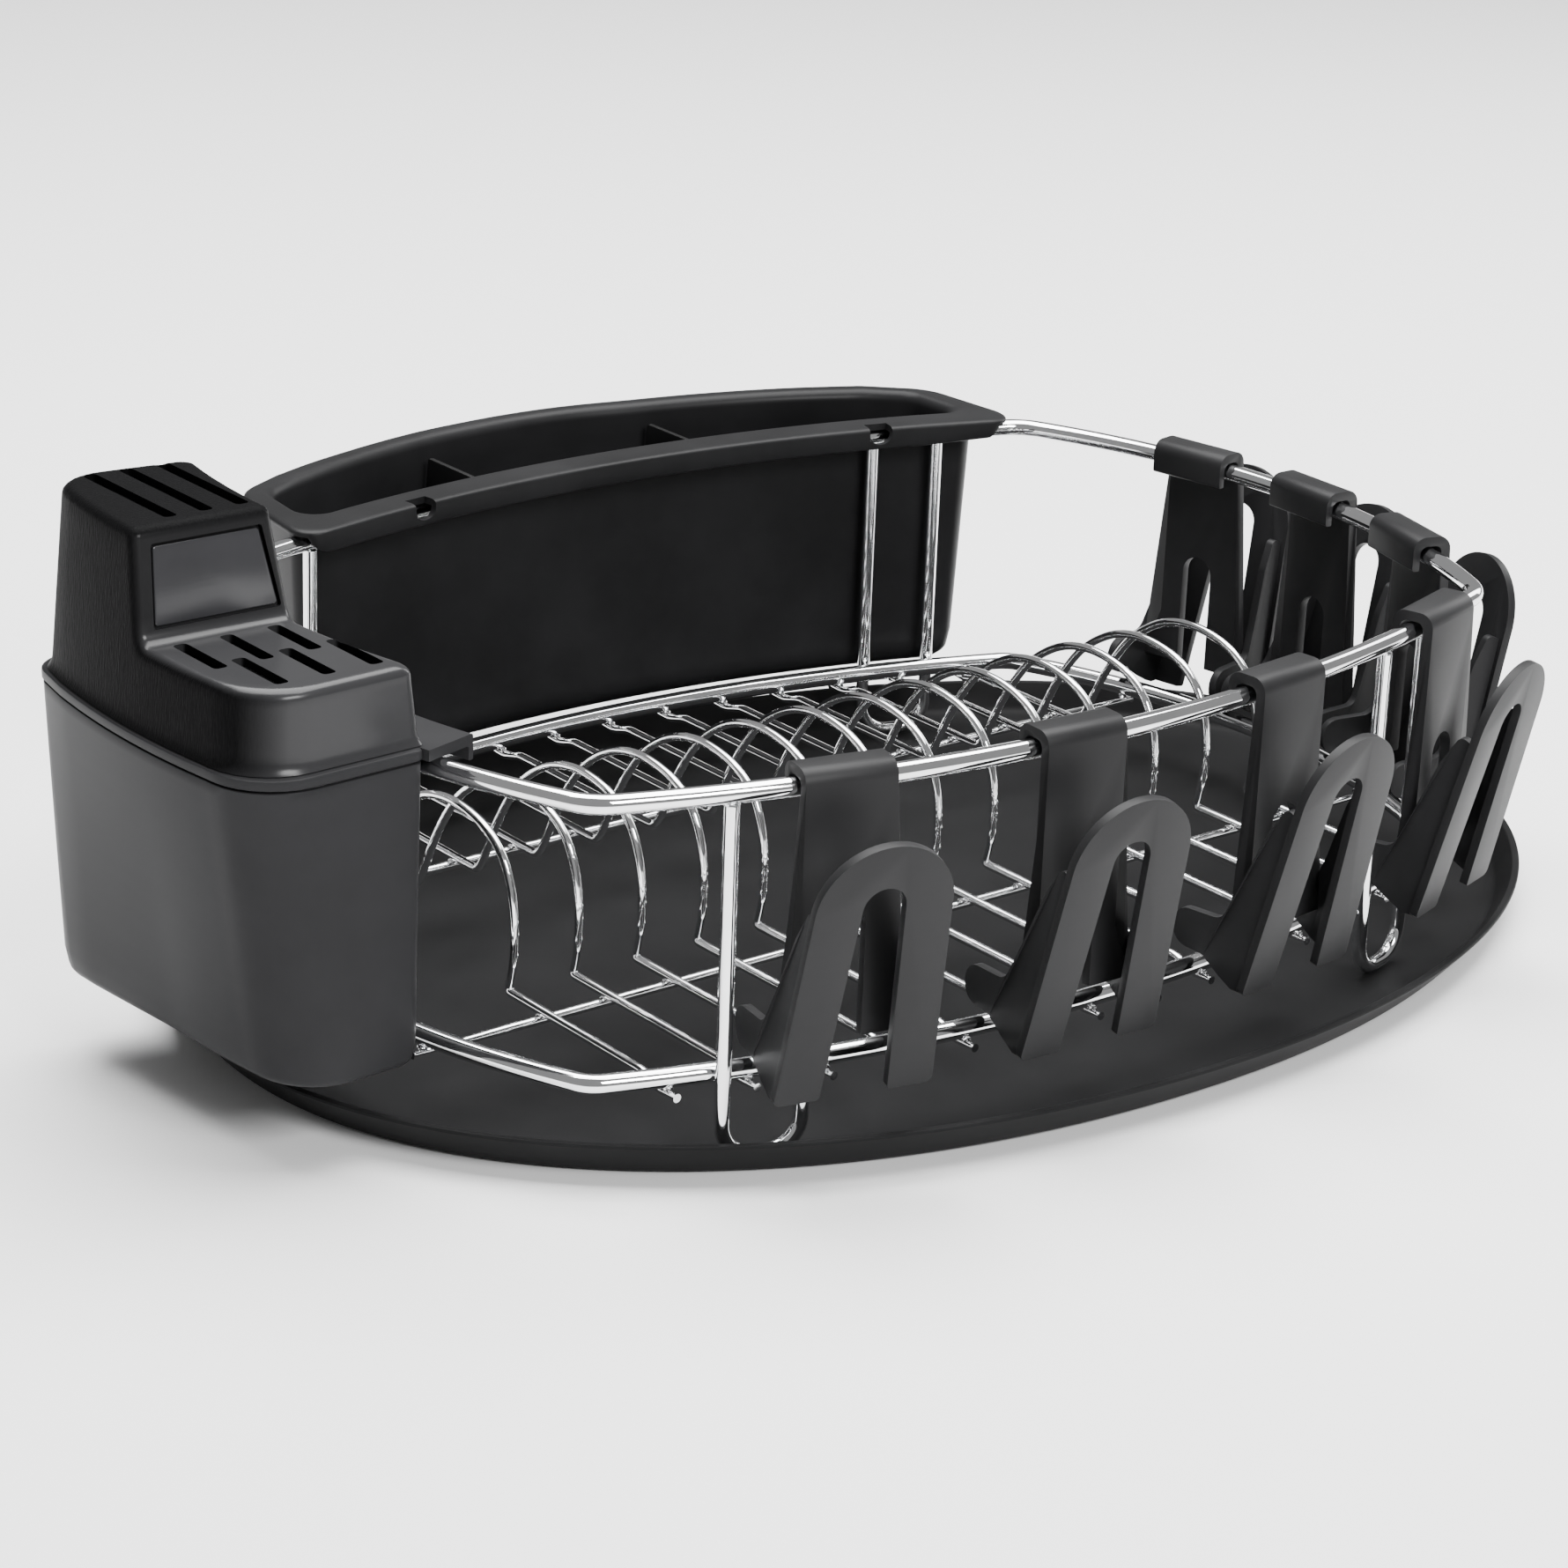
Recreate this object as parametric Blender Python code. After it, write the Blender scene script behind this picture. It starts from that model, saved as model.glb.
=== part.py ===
"""Dish drying rack: drip tray, chrome wire rack, cutlery caddy with knife block,
utensil bin with dividers and seven hang-on cup holders.

All dimensions are millimetres in the rack's own plan frame (x right, y back,
z up from the table). ORIGIN_SHIFT moves that frame so that the origin ends up
in the middle of the bounding box, on the table.
"""

import math

import bmesh
import bpy
from mathutils import Vector

MM = 0.001
GAP = 0.3                      # clearance between pieces that touch
ORIGIN_SHIFT = (-1.23, -14.62, 0.0)

# rack plan: four arcs joined by filleted corners
FRONT_ARC_R = 510.6
FRONT_ARC_CY = 361.3
SIDE_ARC_R = 256.3
SIDE_ARC_CX = -45.7
CORNER_R = 12.0
RAIL_R = 3.25
TOP_OFFSET = 6.0               # the top rail stands this far outside the bottom one
BOTTOM_RAIL_Z = 31.55
TOP_RAIL_Z = 124.7

# wires
PLATE_WIRE_R = 1.5
PLATE_WIRE_COUNT = 14
PLATE_WIRE_X0 = -160.0
PLATE_WIRE_PITCH = 25.0
PLATE_WIRE_Z = 29.0
PLATE_WIRE_DIP = 2.5           # the ends dip to pass under the bottom rail
NUB = 2.0                      # wire end past the rail
ARCH = (
    (-38.4, 0.7), (-39.6, 4.5), (-41.0, 12.0), (-41.5, 20.6), (-40.8, 29.0),
    (-39.0, 36.0), (-34.5, 44.4), (-26.0, 50.9), (-14.0, 54.2), (-2.0, 54.5),
    (9.0, 52.0), (19.0, 46.8), (28.0, 39.5), (35.5, 30.0), (42.8, 18.0),
    (48.5, 6.5), (51.0, 2.0), (53.6, 0.3),
)
CROSS_WIRE_Y = (-56.5, 67.7)
LEG_R = 2.5
LEG_SPACING = 26.5
LEG_X = 134.0
BACK_RIGHT_LEG_X = 142.0
LEG_BEND = 11.0

# drip tray
TRAY_A = 262.0
TRAY_B = 184.0
TRAY_CX = 20.0
TRAY_POWER = 2.1
TRAY_FLOOR = 2.5
TRAY_SECTION = (               # (inset from the lip, height)
    (14.0, 0.0), (10.5, 0.8), (1.0, 11.8), (0.0, 12.8), (0.4, 13.5),
    (2.4, 13.5), (3.0, 12.8), (8.5, 4.2), (11.5, 2.5),
)

# moulded pieces that hang on the rails
RIM_TOP = 132.0
RAIL_CLEAR = 4.6               # outer wall face, outward from the top rail's centre
WALL = 2.2
HOOK_X = (-112.5, -30.0, 60.0, 152.0)
HOOK_Y = (-67.0, -10.0, 47.0)


# ---------------------------------------------------------------- plan helpers

def corner_circle():
    """Centre of the fillet between the front and the right arc, and its two end angles."""
    r1 = FRONT_ARC_R - CORNER_R
    r2 = SIDE_ARC_R - CORNER_R
    dx, dy = SIDE_ARC_CX, -FRONT_ARC_CY
    dist = math.hypot(dx, dy)
    along = (r1 * r1 - r2 * r2 + dist * dist) / (2 * dist)
    off = math.sqrt(r1 * r1 - along * along)
    ux, uy = dx / dist, dy / dist
    px = along * ux - off * uy
    py = FRONT_ARC_CY + along * uy + off * ux
    start = math.atan2(py - FRONT_ARC_CY, px)
    end = math.atan2(py, px - SIDE_ARC_CX)
    return (px, py), start, end


CORNER_C, CORNER_START, CORNER_END = corner_circle()


def rail_point(angle, offset=0.0):
    """Point of the bottom rail's centre line whose outward normal has this angle,
    moved outward by offset."""
    nx, ny = math.cos(angle), math.sin(angle)
    sx = 1.0 if nx >= 0 else -1.0
    sy = 1.0 if ny >= 0 else -1.0
    quad = math.atan2(-abs(ny), abs(nx))
    if quad < CORNER_START:
        cx, cy, radius = 0.0, FRONT_ARC_CY, FRONT_ARC_R
    elif quad < CORNER_END:
        cx, cy, radius = CORNER_C[0], CORNER_C[1], CORNER_R
    else:
        cx, cy, radius = SIDE_ARC_CX, 0.0, SIDE_ARC_R
    x = cx + radius * math.cos(quad)
    y = cy + radius * math.sin(quad)
    return (sx * x + offset * nx, -sy * y + offset * ny)


def front_angle(x, offset=0.0):
    """Normal angle on the front rail at this x."""
    return -math.pi / 2 + math.asin(x / (FRONT_ARC_R + offset))


def side_angle(y, offset=0.0):
    """Normal angle on the right rail at this y."""
    return math.asin(y / (SIDE_ARC_R + offset))


def front_y(x, offset=0.0):
    return FRONT_ARC_CY - math.sqrt((FRONT_ARC_R + offset) ** 2 - x * x)


def side_x(y, offset=0.0):
    """Right rail's x at this y."""
    return SIDE_ARC_CX + math.sqrt((SIDE_ARC_R + offset) ** 2 - y * y)


def rail_angles(n_front, n_corner, n_side):
    """Normal angles round the whole rail, dense at the corners."""
    quarter = []
    for i in range(n_front):
        quarter.append(-math.pi / 2 + (CORNER_START + math.pi / 2) * i / n_front)
    for i in range(n_corner):
        quarter.append(CORNER_START + (CORNER_END - CORNER_START) * i / n_corner)
    for i in range(n_side):
        quarter.append(CORNER_END * (1 - i / n_side))
    right_back = [-a for a in reversed(quarter)][:-1]
    right = quarter + [0.0] + right_back
    left = [math.pi - a for a in reversed(right)]
    return right + left


def superellipse(a, b, power, count, cx):
    points = []
    for i in range(count):
        t = 2 * math.pi * i / count
        c, s = math.cos(t), math.sin(t)
        x = a * math.copysign(abs(c) ** (2 / power), c)
        y = b * math.copysign(abs(s) ** (2 / power), s)
        points.append((cx + x, y))
    return points


def fillet(points, radii, steps=4, closed=False):
    """Polyline with its corners rounded by arcs."""
    count = len(points)
    out = []
    for i, p in enumerate(points):
        here = Vector(p)
        if radii[i] <= 0 or (not closed and i in (0, count - 1)):
            out.append(tuple(here))
            continue
        prev = Vector(points[i - 1]) - here
        post = Vector(points[(i + 1) % count]) - here
        shares = [0.49 if radii[j] > 0 else 0.97 for j in (i - 1, (i + 1) % count)]
        room = min(prev.length * shares[0], post.length * shares[1])
        prev.normalize()
        post.normalize()
        half = prev.angle(post) / 2
        reach = min(radii[i] / math.tan(half), room)
        radius = reach * math.tan(half)
        centre = here + (prev + post).normalized() * (radius / math.sin(half))
        a = here + prev * reach - centre
        b = here + post * reach - centre
        for k in range(steps + 1):
            out.append(tuple(centre + a.slerp(b, k / steps).normalized() * radius))
    return out


# ---------------------------------------------------------------- mesh helpers

def loft(rings):
    """Closed mesh through 3-D rings of equal length, with both ends capped."""
    count = len(rings[0])
    verts = [p for ring in rings for p in ring]
    faces = [tuple(reversed(range(count)))]
    for r in range(len(rings) - 1):
        base, top = r * count, (r + 1) * count
        for i in range(count):
            j = (i + 1) % count
            faces.append((base + i, base + j, top + j, top + i))
    last = (len(rings) - 1) * count
    faces.append(tuple(range(last, last + count)))
    return verts, faces


def level(outline, z):
    return [(x, y, z) for x, y in outline]


def tube(path, radius, sides, closed=False):
    """Round wire along a 3-D path."""
    pts = [Vector(p) for p in path]
    count = len(pts)
    rings = []
    normal = None
    for i in range(count):
        if closed:
            before, after = pts[i - 1], pts[(i + 1) % count]
        else:
            before, after = pts[max(i - 1, 0)], pts[min(i + 1, count - 1)]
        tangent = (after - before).normalized()
        if normal is None:
            normal = tangent.cross(Vector((0, 0, 1)))
            if normal.length < 0.2:
                normal = tangent.cross(Vector((1, 0, 0)))
        normal = (normal - tangent * normal.dot(tangent)).normalized()
        side = tangent.cross(normal)
        stretch = 1.0
        if closed or 0 < i < count - 1:
            d1 = (pts[i] - before).normalized()
            cosine = max(0.5, d1.dot(tangent))
            stretch = 1.0 / cosine
        bend_dir = (after - pts[i]).normalized() - (pts[i] - before).normalized()
        bend_dir = bend_dir.normalized() if bend_dir.length > 1e-6 else Vector((0, 0, 0))
        ring = []
        for k in range(sides):
            t = 2 * math.pi * (k + 0.5) / sides
            ray = normal * math.cos(t) + side * math.sin(t)
            ray += bend_dir * (ray.dot(bend_dir) * (stretch - 1.0))
            ring.append(tuple(pts[i] + ray * radius))
        rings.append(ring)
    if not closed:
        return loft(rings)
    verts = [p for ring in rings for p in ring]
    faces = []
    for r in range(count):
        base, top = r * sides, ((r + 1) % count) * sides
        for i in range(sides):
            j = (i + 1) % sides
            faces.append((base + i, base + j, top + j, top + i))
    return verts, faces


def extrude_profile(profile, stations):
    """Closed mesh from an (o, z) profile placed at each station: a function of (o, z)."""
    return loft([[place(o, z) for o, z in profile] for place in stations])


def box(x0, x1, y0, y1, z0, z1):
    ring = [(x0, y0), (x1, y0), (x1, y1), (x0, y1)]
    return loft([level(ring, z0), level(ring, z1)])


def material(name, colour, roughness, metallic=0.0):
    mat = bpy.data.materials.get(name)
    if mat:
        return mat
    mat = bpy.data.materials.new(name)
    mat.use_nodes = True
    shader = mat.node_tree.nodes["Principled BSDF"]
    shader.inputs["Base Color"].default_value = (*colour, 1.0)
    shader.inputs["Roughness"].default_value = roughness
    shader.inputs["Metallic"].default_value = metallic
    mat.diffuse_color = (*colour, 1.0)
    return mat


def make_object(name, shape, origin=(0.0, 0.0, 0.0), mat=None):
    """Object from millimetre geometry, with its own origin at the given point."""
    verts, faces = shape
    mesh = bpy.data.meshes.new(name)
    ox, oy, oz = origin
    scaled = [((x - ox) * MM, (y - oy) * MM, (z - oz) * MM) for x, y, z in verts]
    mesh.from_pydata(scaled, [], faces)
    work = bmesh.new()
    work.from_mesh(mesh)
    bmesh.ops.recalc_face_normals(work, faces=work.faces)
    work.to_mesh(mesh)
    work.free()
    obj = bpy.data.objects.new(name, mesh)
    obj.location = [(origin[i] + ORIGIN_SHIFT[i]) * MM for i in range(3)]
    bpy.context.scene.collection.objects.link(obj)
    if mat:
        mesh.materials.append(mat)
    return obj


def combine(name, base, add=(), cut=(), origin=(0.0, 0.0, 0.0), mat=None):
    """One solid: the base shape with every add united and every cut removed."""
    obj = make_object(name, base, origin, mat)
    helpers = []
    for operation, shapes in (("UNION", add), ("DIFFERENCE", cut)):
        for i, shape in enumerate(shapes):
            helper = make_object(f"{name}_helper", shape, origin)
            helpers.append(helper)
            modifier = obj.modifiers.new(f"{operation.lower()}_{i}", "BOOLEAN")
            modifier.operation = operation
            modifier.solver = "EXACT"
            modifier.object = helper
    bpy.context.view_layer.update()
    graph = bpy.context.evaluated_depsgraph_get()
    baked = bpy.data.meshes.new_from_object(obj.evaluated_get(graph))
    obj.modifiers.clear()
    obj.data = baked
    for helper in helpers:
        bpy.data.objects.remove(helper)
    work = bmesh.new()
    work.from_mesh(baked)
    bmesh.ops.remove_doubles(work, verts=work.verts, dist=0.004 * MM)
    work.to_mesh(baked)
    work.free()
    return obj


# ---------------------------------------------------------------- tray and wires

def build_tray():
    black = material("satin_black_tray", (0.020, 0.020, 0.022), 0.42)
    rings = []
    for gap, z in TRAY_SECTION:
        outline = superellipse(TRAY_A - gap, TRAY_B - gap, TRAY_POWER, 56, TRAY_CX)
        rings.append(level(outline, z))
    make_object("drip_tray", loft(rings), mat=black)


def build_rails(chrome):
    angles = rail_angles(6, 4, 5)
    for name, offset, z in (
        ("top_rail", TOP_OFFSET, TOP_RAIL_Z),
        ("bottom_rail", 0.0, BOTTOM_RAIL_Z),
    ):
        path = [(*rail_point(a, offset), z) for a in angles]
        make_object(name, tube(path, RAIL_R, 8, closed=True), mat=chrome)


def plate_wire_path(x):
    y_front = front_y(x)
    y_back = -y_front
    low = -PLATE_WIRE_DIP
    path = [(y_front - RAIL_R - NUB, low), (y_front + 5.0, low), (y_front + 12.0, 0.0)]
    path += [(-38.0 - 1.2, 0.0)]
    path += list(ARCH)
    path += [(56.5, 0.0), (y_back - 12.0, 0.0), (y_back - 5.0, low), (y_back + RAIL_R + 1.5, low)]
    return [(x, y, PLATE_WIRE_Z + z) for y, z in path]


def build_wires(chrome):
    for i in range(PLATE_WIRE_COUNT):
        x = PLATE_WIRE_X0 + PLATE_WIRE_PITCH * i
        make_object(f"plate_wire_{i + 1:02d}", tube(plate_wire_path(x), PLATE_WIRE_R, 8), mat=chrome)
    z = PLATE_WIRE_Z - 2 * PLATE_WIRE_R - GAP
    for name, y in zip(("cross_wire_front", "cross_wire_back"), CROSS_WIRE_Y):
        reach = SIDE_ARC_CX + math.sqrt(SIDE_ARC_R ** 2 - y * y) + RAIL_R + 1.0
        make_object(name, tube([(-reach, y, z), (reach, y, z)], PLATE_WIRE_R, 8), mat=chrome)


def leg_path(angle):
    """U-shaped leg whose two uprights stand just outside the bottom rail."""
    offset = RAIL_R + LEG_R + GAP
    mx, my = rail_point(angle, offset)
    tx, ty = -math.sin(angle), math.cos(angle)
    top = TOP_RAIL_Z - RAIL_R - GAP
    foot = TRAY_FLOOR + GAP + LEG_R
    half = LEG_SPACING / 2
    path = [(-half, top)]
    for k in range(6):
        t = math.pi / 2 * k / 5
        path.append((-half + LEG_BEND * (1 - math.cos(t)), foot + LEG_BEND * (1 - math.sin(t))))
    path += [(-u, z) for u, z in reversed(path)]
    return [(mx + tx * u, my + ty * u, z) for u, z in path]


def build_legs(chrome):
    right = front_angle(LEG_X, TOP_OFFSET)
    for name, angle in (
        ("leg_front_right", right),
        ("leg_front_left", -math.pi - right),
        ("leg_back_right", -front_angle(BACK_RIGHT_LEG_X, TOP_OFFSET)),
        ("leg_back_left", math.pi + right),
    ):
        make_object(name, tube(leg_path(angle), LEG_R, 8), mat=chrome)


# ---------------------------------------------------------------- caddy and knife block

CADDY_FRONT = -71.0
CADDY_BACK = 62.5
CADDY_LEFT = -279.36
CADDY_BOTTOM = 28.0
RAIL_COVER = 128.35            # underside of the plates that lie over the top rail
PLATE_REACH = -14.2            # the caddy's plate ends this far inside the top rail's centre
LID_BASE = RIM_TOP + GAP
LID_STEP = 157.5
LID_TOP = 192.0


def caddy_left_x(y):
    return CADDY_LEFT + 5.3 * ((y + 5.0) / 58.0) ** 2


def caddy_outline(left_in=0.0, other_in=0.0, right_in=0.0, wall_ys=None, steps=3, left_draft=0.0):
    """Counter-clockwise outline; the right wall runs concentric with the rail."""
    def left_x(y):
        ease = 1.0 - 0.85 * max(0.0, (y + 12.0) / 74.5) ** 1.5
        return caddy_left_x(y) + left_in + left_draft * ease

    offset = TOP_OFFSET + RAIL_CLEAR + right_in
    y0 = CADDY_FRONT + 1.2 + other_in
    y1 = CADDY_BACK - 3.0 - other_in
    if wall_ys is None:
        wall_ys = [-48.0 + 86.0 * k / 8 for k in range(9)]
    front_corner = CADDY_FRONT - 1.6 + other_in
    back_corner = CADDY_BACK + 1.8 - other_in
    corners = [(-side_x(y0, offset), y0, 4.0)]
    corners += [(-side_x(y, offset), y, 0) for y in wall_ys]
    corners += [(-side_x(y1, offset), y1, 4.0)]
    corners += [(left_x(CADDY_BACK) + 0.6, back_corner, 14.0)]
    corners += [(left_x(y), y, 0) for y in reversed(wall_ys)]
    corners += [(left_x(-60.0) + 0.4, front_corner, 22.0)]
    return fillet([c[:2] for c in corners], [c[2] for c in corners], steps=steps, closed=True)


def caddy_ring(gap, z):
    share = 1.0 - (z - CADDY_BOTTOM) / (RIM_TOP - CADDY_BOTTOM)
    outline = caddy_outline(gap, 0.6 * share + gap, 1.0 * share + gap, left_draft=15.0 * share)
    return level(outline, z)


def rail_station(angle):
    """Turns (o, z) into a point at this place of the top rail, o pointing outward."""
    def place(o, z):
        x, y = rail_point(angle, TOP_OFFSET + o)
        return (x, y, z)
    return place


def rail_hook(profile, angles):
    return extrude_profile(profile, [rail_station(a) for a in angles])


def build_caddy():
    black = material("satin_black_caddy", (0.023, 0.023, 0.025), 0.38)
    low = CADDY_BOTTOM
    shell = loft([caddy_ring(gap, z) for gap, z in (
        (6.0, low), (2.6, low + 0.8), (0.6, low + 3.4), (0.0, low + 7.0), (0.0, 127.5),
        (0.9, 127.8), (0.9, 128.4), (-0.3, 128.7), (-0.3, 131.2), (0.5, RIM_TOP), (6.6, RIM_TOP),
        (6.6, 129.4), (WALL, 127.0), (WALL, low + 8.0), (WALL + 3.6, low + 2.8),
    )])
    top = RIM_TOP - 0.05
    profile = [
        (RAIL_CLEAR + 1.4, top), (PLATE_REACH + 0.7, top), (PLATE_REACH, top - 0.7),
        (PLATE_REACH, 123.6), (PLATE_REACH + 2.0, 123.6), (PLATE_REACH + 2.0, RAIL_COVER),
        (RAIL_CLEAR + 1.4, RAIL_COVER),
    ]
    start = math.pi + side_angle(70.0, TOP_OFFSET)
    end = math.pi - side_angle(60.6, TOP_OFFSET)
    angles = [start + (end - start) * k / 9 for k in range(10)]
    combine("cutlery_caddy", shell, add=[rail_hook(profile, angles)], mat=black)


def lid_profile(steps, drop=0.0, back_shift=0.0):
    """(y, z, ny, nz) along the top: step, concave sweep, block front, block top."""
    bend = [(-45.0, LID_STEP - drop), (-9.4 + back_shift, LID_STEP - drop),
            (-2.8 + back_shift, LID_TOP - drop), (40.0, LID_TOP - drop)]
    line = fillet(bend, [0, 5.0, 3.6, 0], steps=steps)
    line = [line[0], (-30.0, line[0][1])] + line[1:-1] + [(20.0, line[-1][1]), line[-1]]
    out = []
    for i, (y, z) in enumerate(line):
        a = line[max(0, i - 1)]
        b = line[min(len(line) - 1, i + 1)]
        dy, dz = b[0] - a[0], b[1] - a[1]
        length = math.hypot(dy, dz)
        out.append((y, z, -dz / length, dy / length))
    out[0] = (*line[0], 0.0, 1.0)
    out[-1] = (*line[-1], 0.0, 1.0)
    return out


def lid_insets(z, gap):
    """How far the lid's left, front and right walls stand inside the caddy's at this height."""
    t = (z - LID_BASE) / 60.0
    flare = 0.0 if gap > 0 else 1.0 * max(0.0, 1.0 - max(0.0, z - LID_BASE) / 3.6) ** 2
    return 1.9 + 4.3 * t + gap - flare, 3.2 + 2.8 * t + gap - flare, -1.6 + 5.2 * t + gap - 0.6 * flare


def lid_shape(radius, steps=4, round_steps=2, gap=0.0, drop=0.0, back_shift=0.0, base=LID_BASE):
    """L-shaped block: a low step in front, a tall block behind, all top edges rounded."""
    profile = lid_profile(steps, drop, back_shift)
    count = len(profile)
    arc = 3
    total = 2 * count + 4 * (arc + 1)
    cache = {}

    def outline(depth, extra, z):
        key = (round(depth, 4), round(extra, 4), round(z, 3))
        if key not in cache:
            ys = [y - ny * depth for y, _, ny, _ in profile]
            cache[key] = caddy_outline(*lid_insets(z, gap + extra), wall_ys=ys, steps=arc)
        return cache[key]

    def station(index):
        """Which profile point this outline point belongs to."""
        first = arc + 1
        back = first + count + 2 * (arc + 1)
        if first <= index < first + count:
            return index - first
        if first + count <= index < back:
            return count - 1
        if back <= index < back + count:
            return count - 1 - (index - back)
        return 0

    def ring(depth, extra, share=1.0, absolute=None):
        points = []
        for i in range(total):
            _, z_top, _, nz = profile[station(i)]
            z = base + (z_top - nz * depth - base) * share if absolute is None else absolute
            x, y = outline(depth, extra, z)[i]
            points.append((x, y, z))
        return points

    rings = [ring(radius, 0.0, absolute=base + lift) for lift in (0.0, 1.2, 3.6)]
    rings += [ring(radius, 0.0, share=share) for share in (0.6, 1.0)]
    for k in range(1, round_steps + 1):
        t = math.pi / 2 * k / round_steps
        rings.append(ring(radius * (1 - math.sin(t)), radius * (1 - math.cos(t))))
    verts, faces = loft(rings)
    faces.pop()
    last = (len(rings) - 1) * total
    right = [last + arc + 1 + j for j in range(count)]
    left_start = arc + 1 + count + 2 * (arc + 1)
    left = [last + left_start + count - 1 - j for j in range(count)]
    for j in range(count - 1):
        faces.append((right[j], right[j + 1], left[j + 1], left[j]))
    front = [last + i for i in range(left_start + count, total)] + [last + i for i in range(arc + 1)]
    faces.append(tuple([left[0]] + front + [right[0]]))
    back = [last + i for i in range(arc + 1 + count, left_start)]
    faces.append(tuple([right[-1]] + back + [left[-1]]))
    return verts, faces


def slot_box(x, y0, y1, width, z0, z1):
    return box(x - width / 2, x + width / 2, y0, y1, z0, z1)


def panel_shape(shrink, start, depth):
    """Rectangular plate let into the block's front face; start and depth run inward from it."""
    slope = Vector((0.0, 6.6, 34.5)).normalized()
    inward = Vector((0.0, slope.z, -slope.y))
    low, high = 161.6 + shrink, 187.0 - shrink
    outline = [(-269.3 + shrink, low), (-224.9 - shrink, low), (-228.9 - shrink, high),
               (-267.2 + shrink, high)]
    rings = []
    for t in (start, depth):
        rings.append([
            tuple(Vector((x, -9.4 + 6.6 * (z - 157.5) / 34.5, z)) + inward * t)
            for x, z in outline
        ])
    return loft(rings)


def build_lid():
    black = material("satin_black_block", (0.023, 0.023, 0.025), 0.36)
    outer = lid_shape(3.2)
    hollow = lid_shape(
        1.0, steps=2, round_steps=1, gap=2.6, drop=2.6, back_shift=6.0, base=LID_BASE + 1.6
    )
    # locating skirt inside the caddy mouth
    skirt_outline = caddy_outline(7.0, 7.0, 7.0)
    skirt = loft([level(skirt_outline, 125.5), level(skirt_outline, LID_BASE + 1.0)])
    passage_outline = caddy_outline(9.0, 9.0, 9.0)
    passage = loft([level(passage_outline, 124.0), level(passage_outline, LID_BASE + 4.0)])
    knife = [slot_box(x, 3.0, 53.5, 4.6, 186.0, 194.0) for x in (-256.0, -243.5, -231.0)]
    back_row = [slot_box(x, -38.0, -13.0, 4.8, 152.0, 160.0) for x in (-263.6, -247.6, -231.0)]
    front_row = [slot_box(x, -59.0, -33.0, 4.8, 152.0, 160.0) for x in (-255.6, -239.3, -222.7)]
    combine(
        "knife_block_lid", outer, add=[skirt],
        cut=[hollow, passage, panel_shape(0.0, -1.5, 2.0)] + knife + back_row + front_row, mat=black,
    )
    gloss = material("gloss_black_panel", (0.045, 0.045, 0.050), 0.16)
    make_object("block_panel", panel_shape(0.9, 0.5, 1.7), mat=gloss)


# ---------------------------------------------------------------- utensil bin

BIN_RIM = 130.9
BIN_BOTTOM = 29.0
BIN_BACK = (
    (155.0, 178.6), (132.0, 189.3), (107.0, 198.2), (85.0, 204.2), (63.0, 209.0), (43.0, 213.4),
    (27.0, 215.4), (10.0, 216.0), (-8.0, 215.2), (-25.0, 213.6), (-44.0, 210.0), (-63.0, 205.2),
    (-81.0, 199.8), (-99.0, 193.0),
)
BIN_FRONT_STEPS = 16
DIVIDER_X = (-29.0, 68.0)


def offset_polygon(points, amounts):
    """Moves edge i (from point i to the next) of a counter-clockwise polygon inward."""
    count = len(points)
    out = []
    for i in range(count):
        a, b, c = (Vector(points[(i + k) % count]) for k in (-1, 0, 1))
        d1, d2 = (b - a).normalized(), (c - b).normalized()
        n1, n2 = Vector((-d1.y, d1.x)), Vector((-d2.y, d2.x))
        m1, m2 = amounts[i - 1], amounts[i]
        det = n1.x * n2.y - n1.y * n2.x
        if abs(det) < 0.05:
            shift = (n1 + n2).normalized() * ((m1 + m2) / 2)
        else:
            shift = Vector(((m1 * n2.y - m2 * n1.y) / det, (m2 * n1.x - m1 * n2.x) / det))
        out.append((b.x + shift.x, b.y + shift.y))
    return out


def bin_outline(front=0.0, right=0.0, back=0.0, left=0.0, radii=(7.0, 13.0, 17.0, 7.0)):
    """Counter-clockwise body outline, each side moved inward by its own amount."""
    base = TOP_OFFSET + RAIL_CLEAR
    n = BIN_FRONT_STEPS
    xs = [-102.0 + 250.0 * k / n for k in range(n + 1)]
    points = [(x, -front_y(x, base)) for x in xs]
    points += [(173.2, -front_y(173.2, base)), (170.8, 164.4)]
    points += list(BIN_BACK)
    points += [(-118.0, 183.0), (-122.4, -front_y(-122.4, base))]
    amounts = [front] * (n + 1) + [right] + [back] * (len(BIN_BACK) + 1) + [left] + [front]
    moved = offset_polygon(points, amounts)
    rounding = [0.0] * (n + 1) + [radii[0], radii[1]] + [0.0] * len(BIN_BACK) + [radii[2], radii[3]]
    return fillet(moved, rounding, steps=4, closed=True)


def bin_band(gap=0.0):
    """Outer edge of the rim band."""
    return bin_outline(gap - 14.3, gap - 7.4, gap - 4.9, gap - 7.0, (9.0, 19.0, 22.0, 9.0))


def bin_mouth(gap=0.0):
    """Inner edge of the rim band: the opening."""
    return bin_outline(gap + 2.0, gap + 3.2, gap + 3.2, gap + 4.6, (7.0, 11.0, 14.0, 9.0))


def bin_body(gap, z):
    share = (BIN_RIM - z) / (BIN_RIM - BIN_BOTTOM)
    side = gap + 5.0 * share
    return level(bin_outline(gap + 1.5 * share, gap - 3.5 + 3.5 * share, side, side), z)


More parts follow.
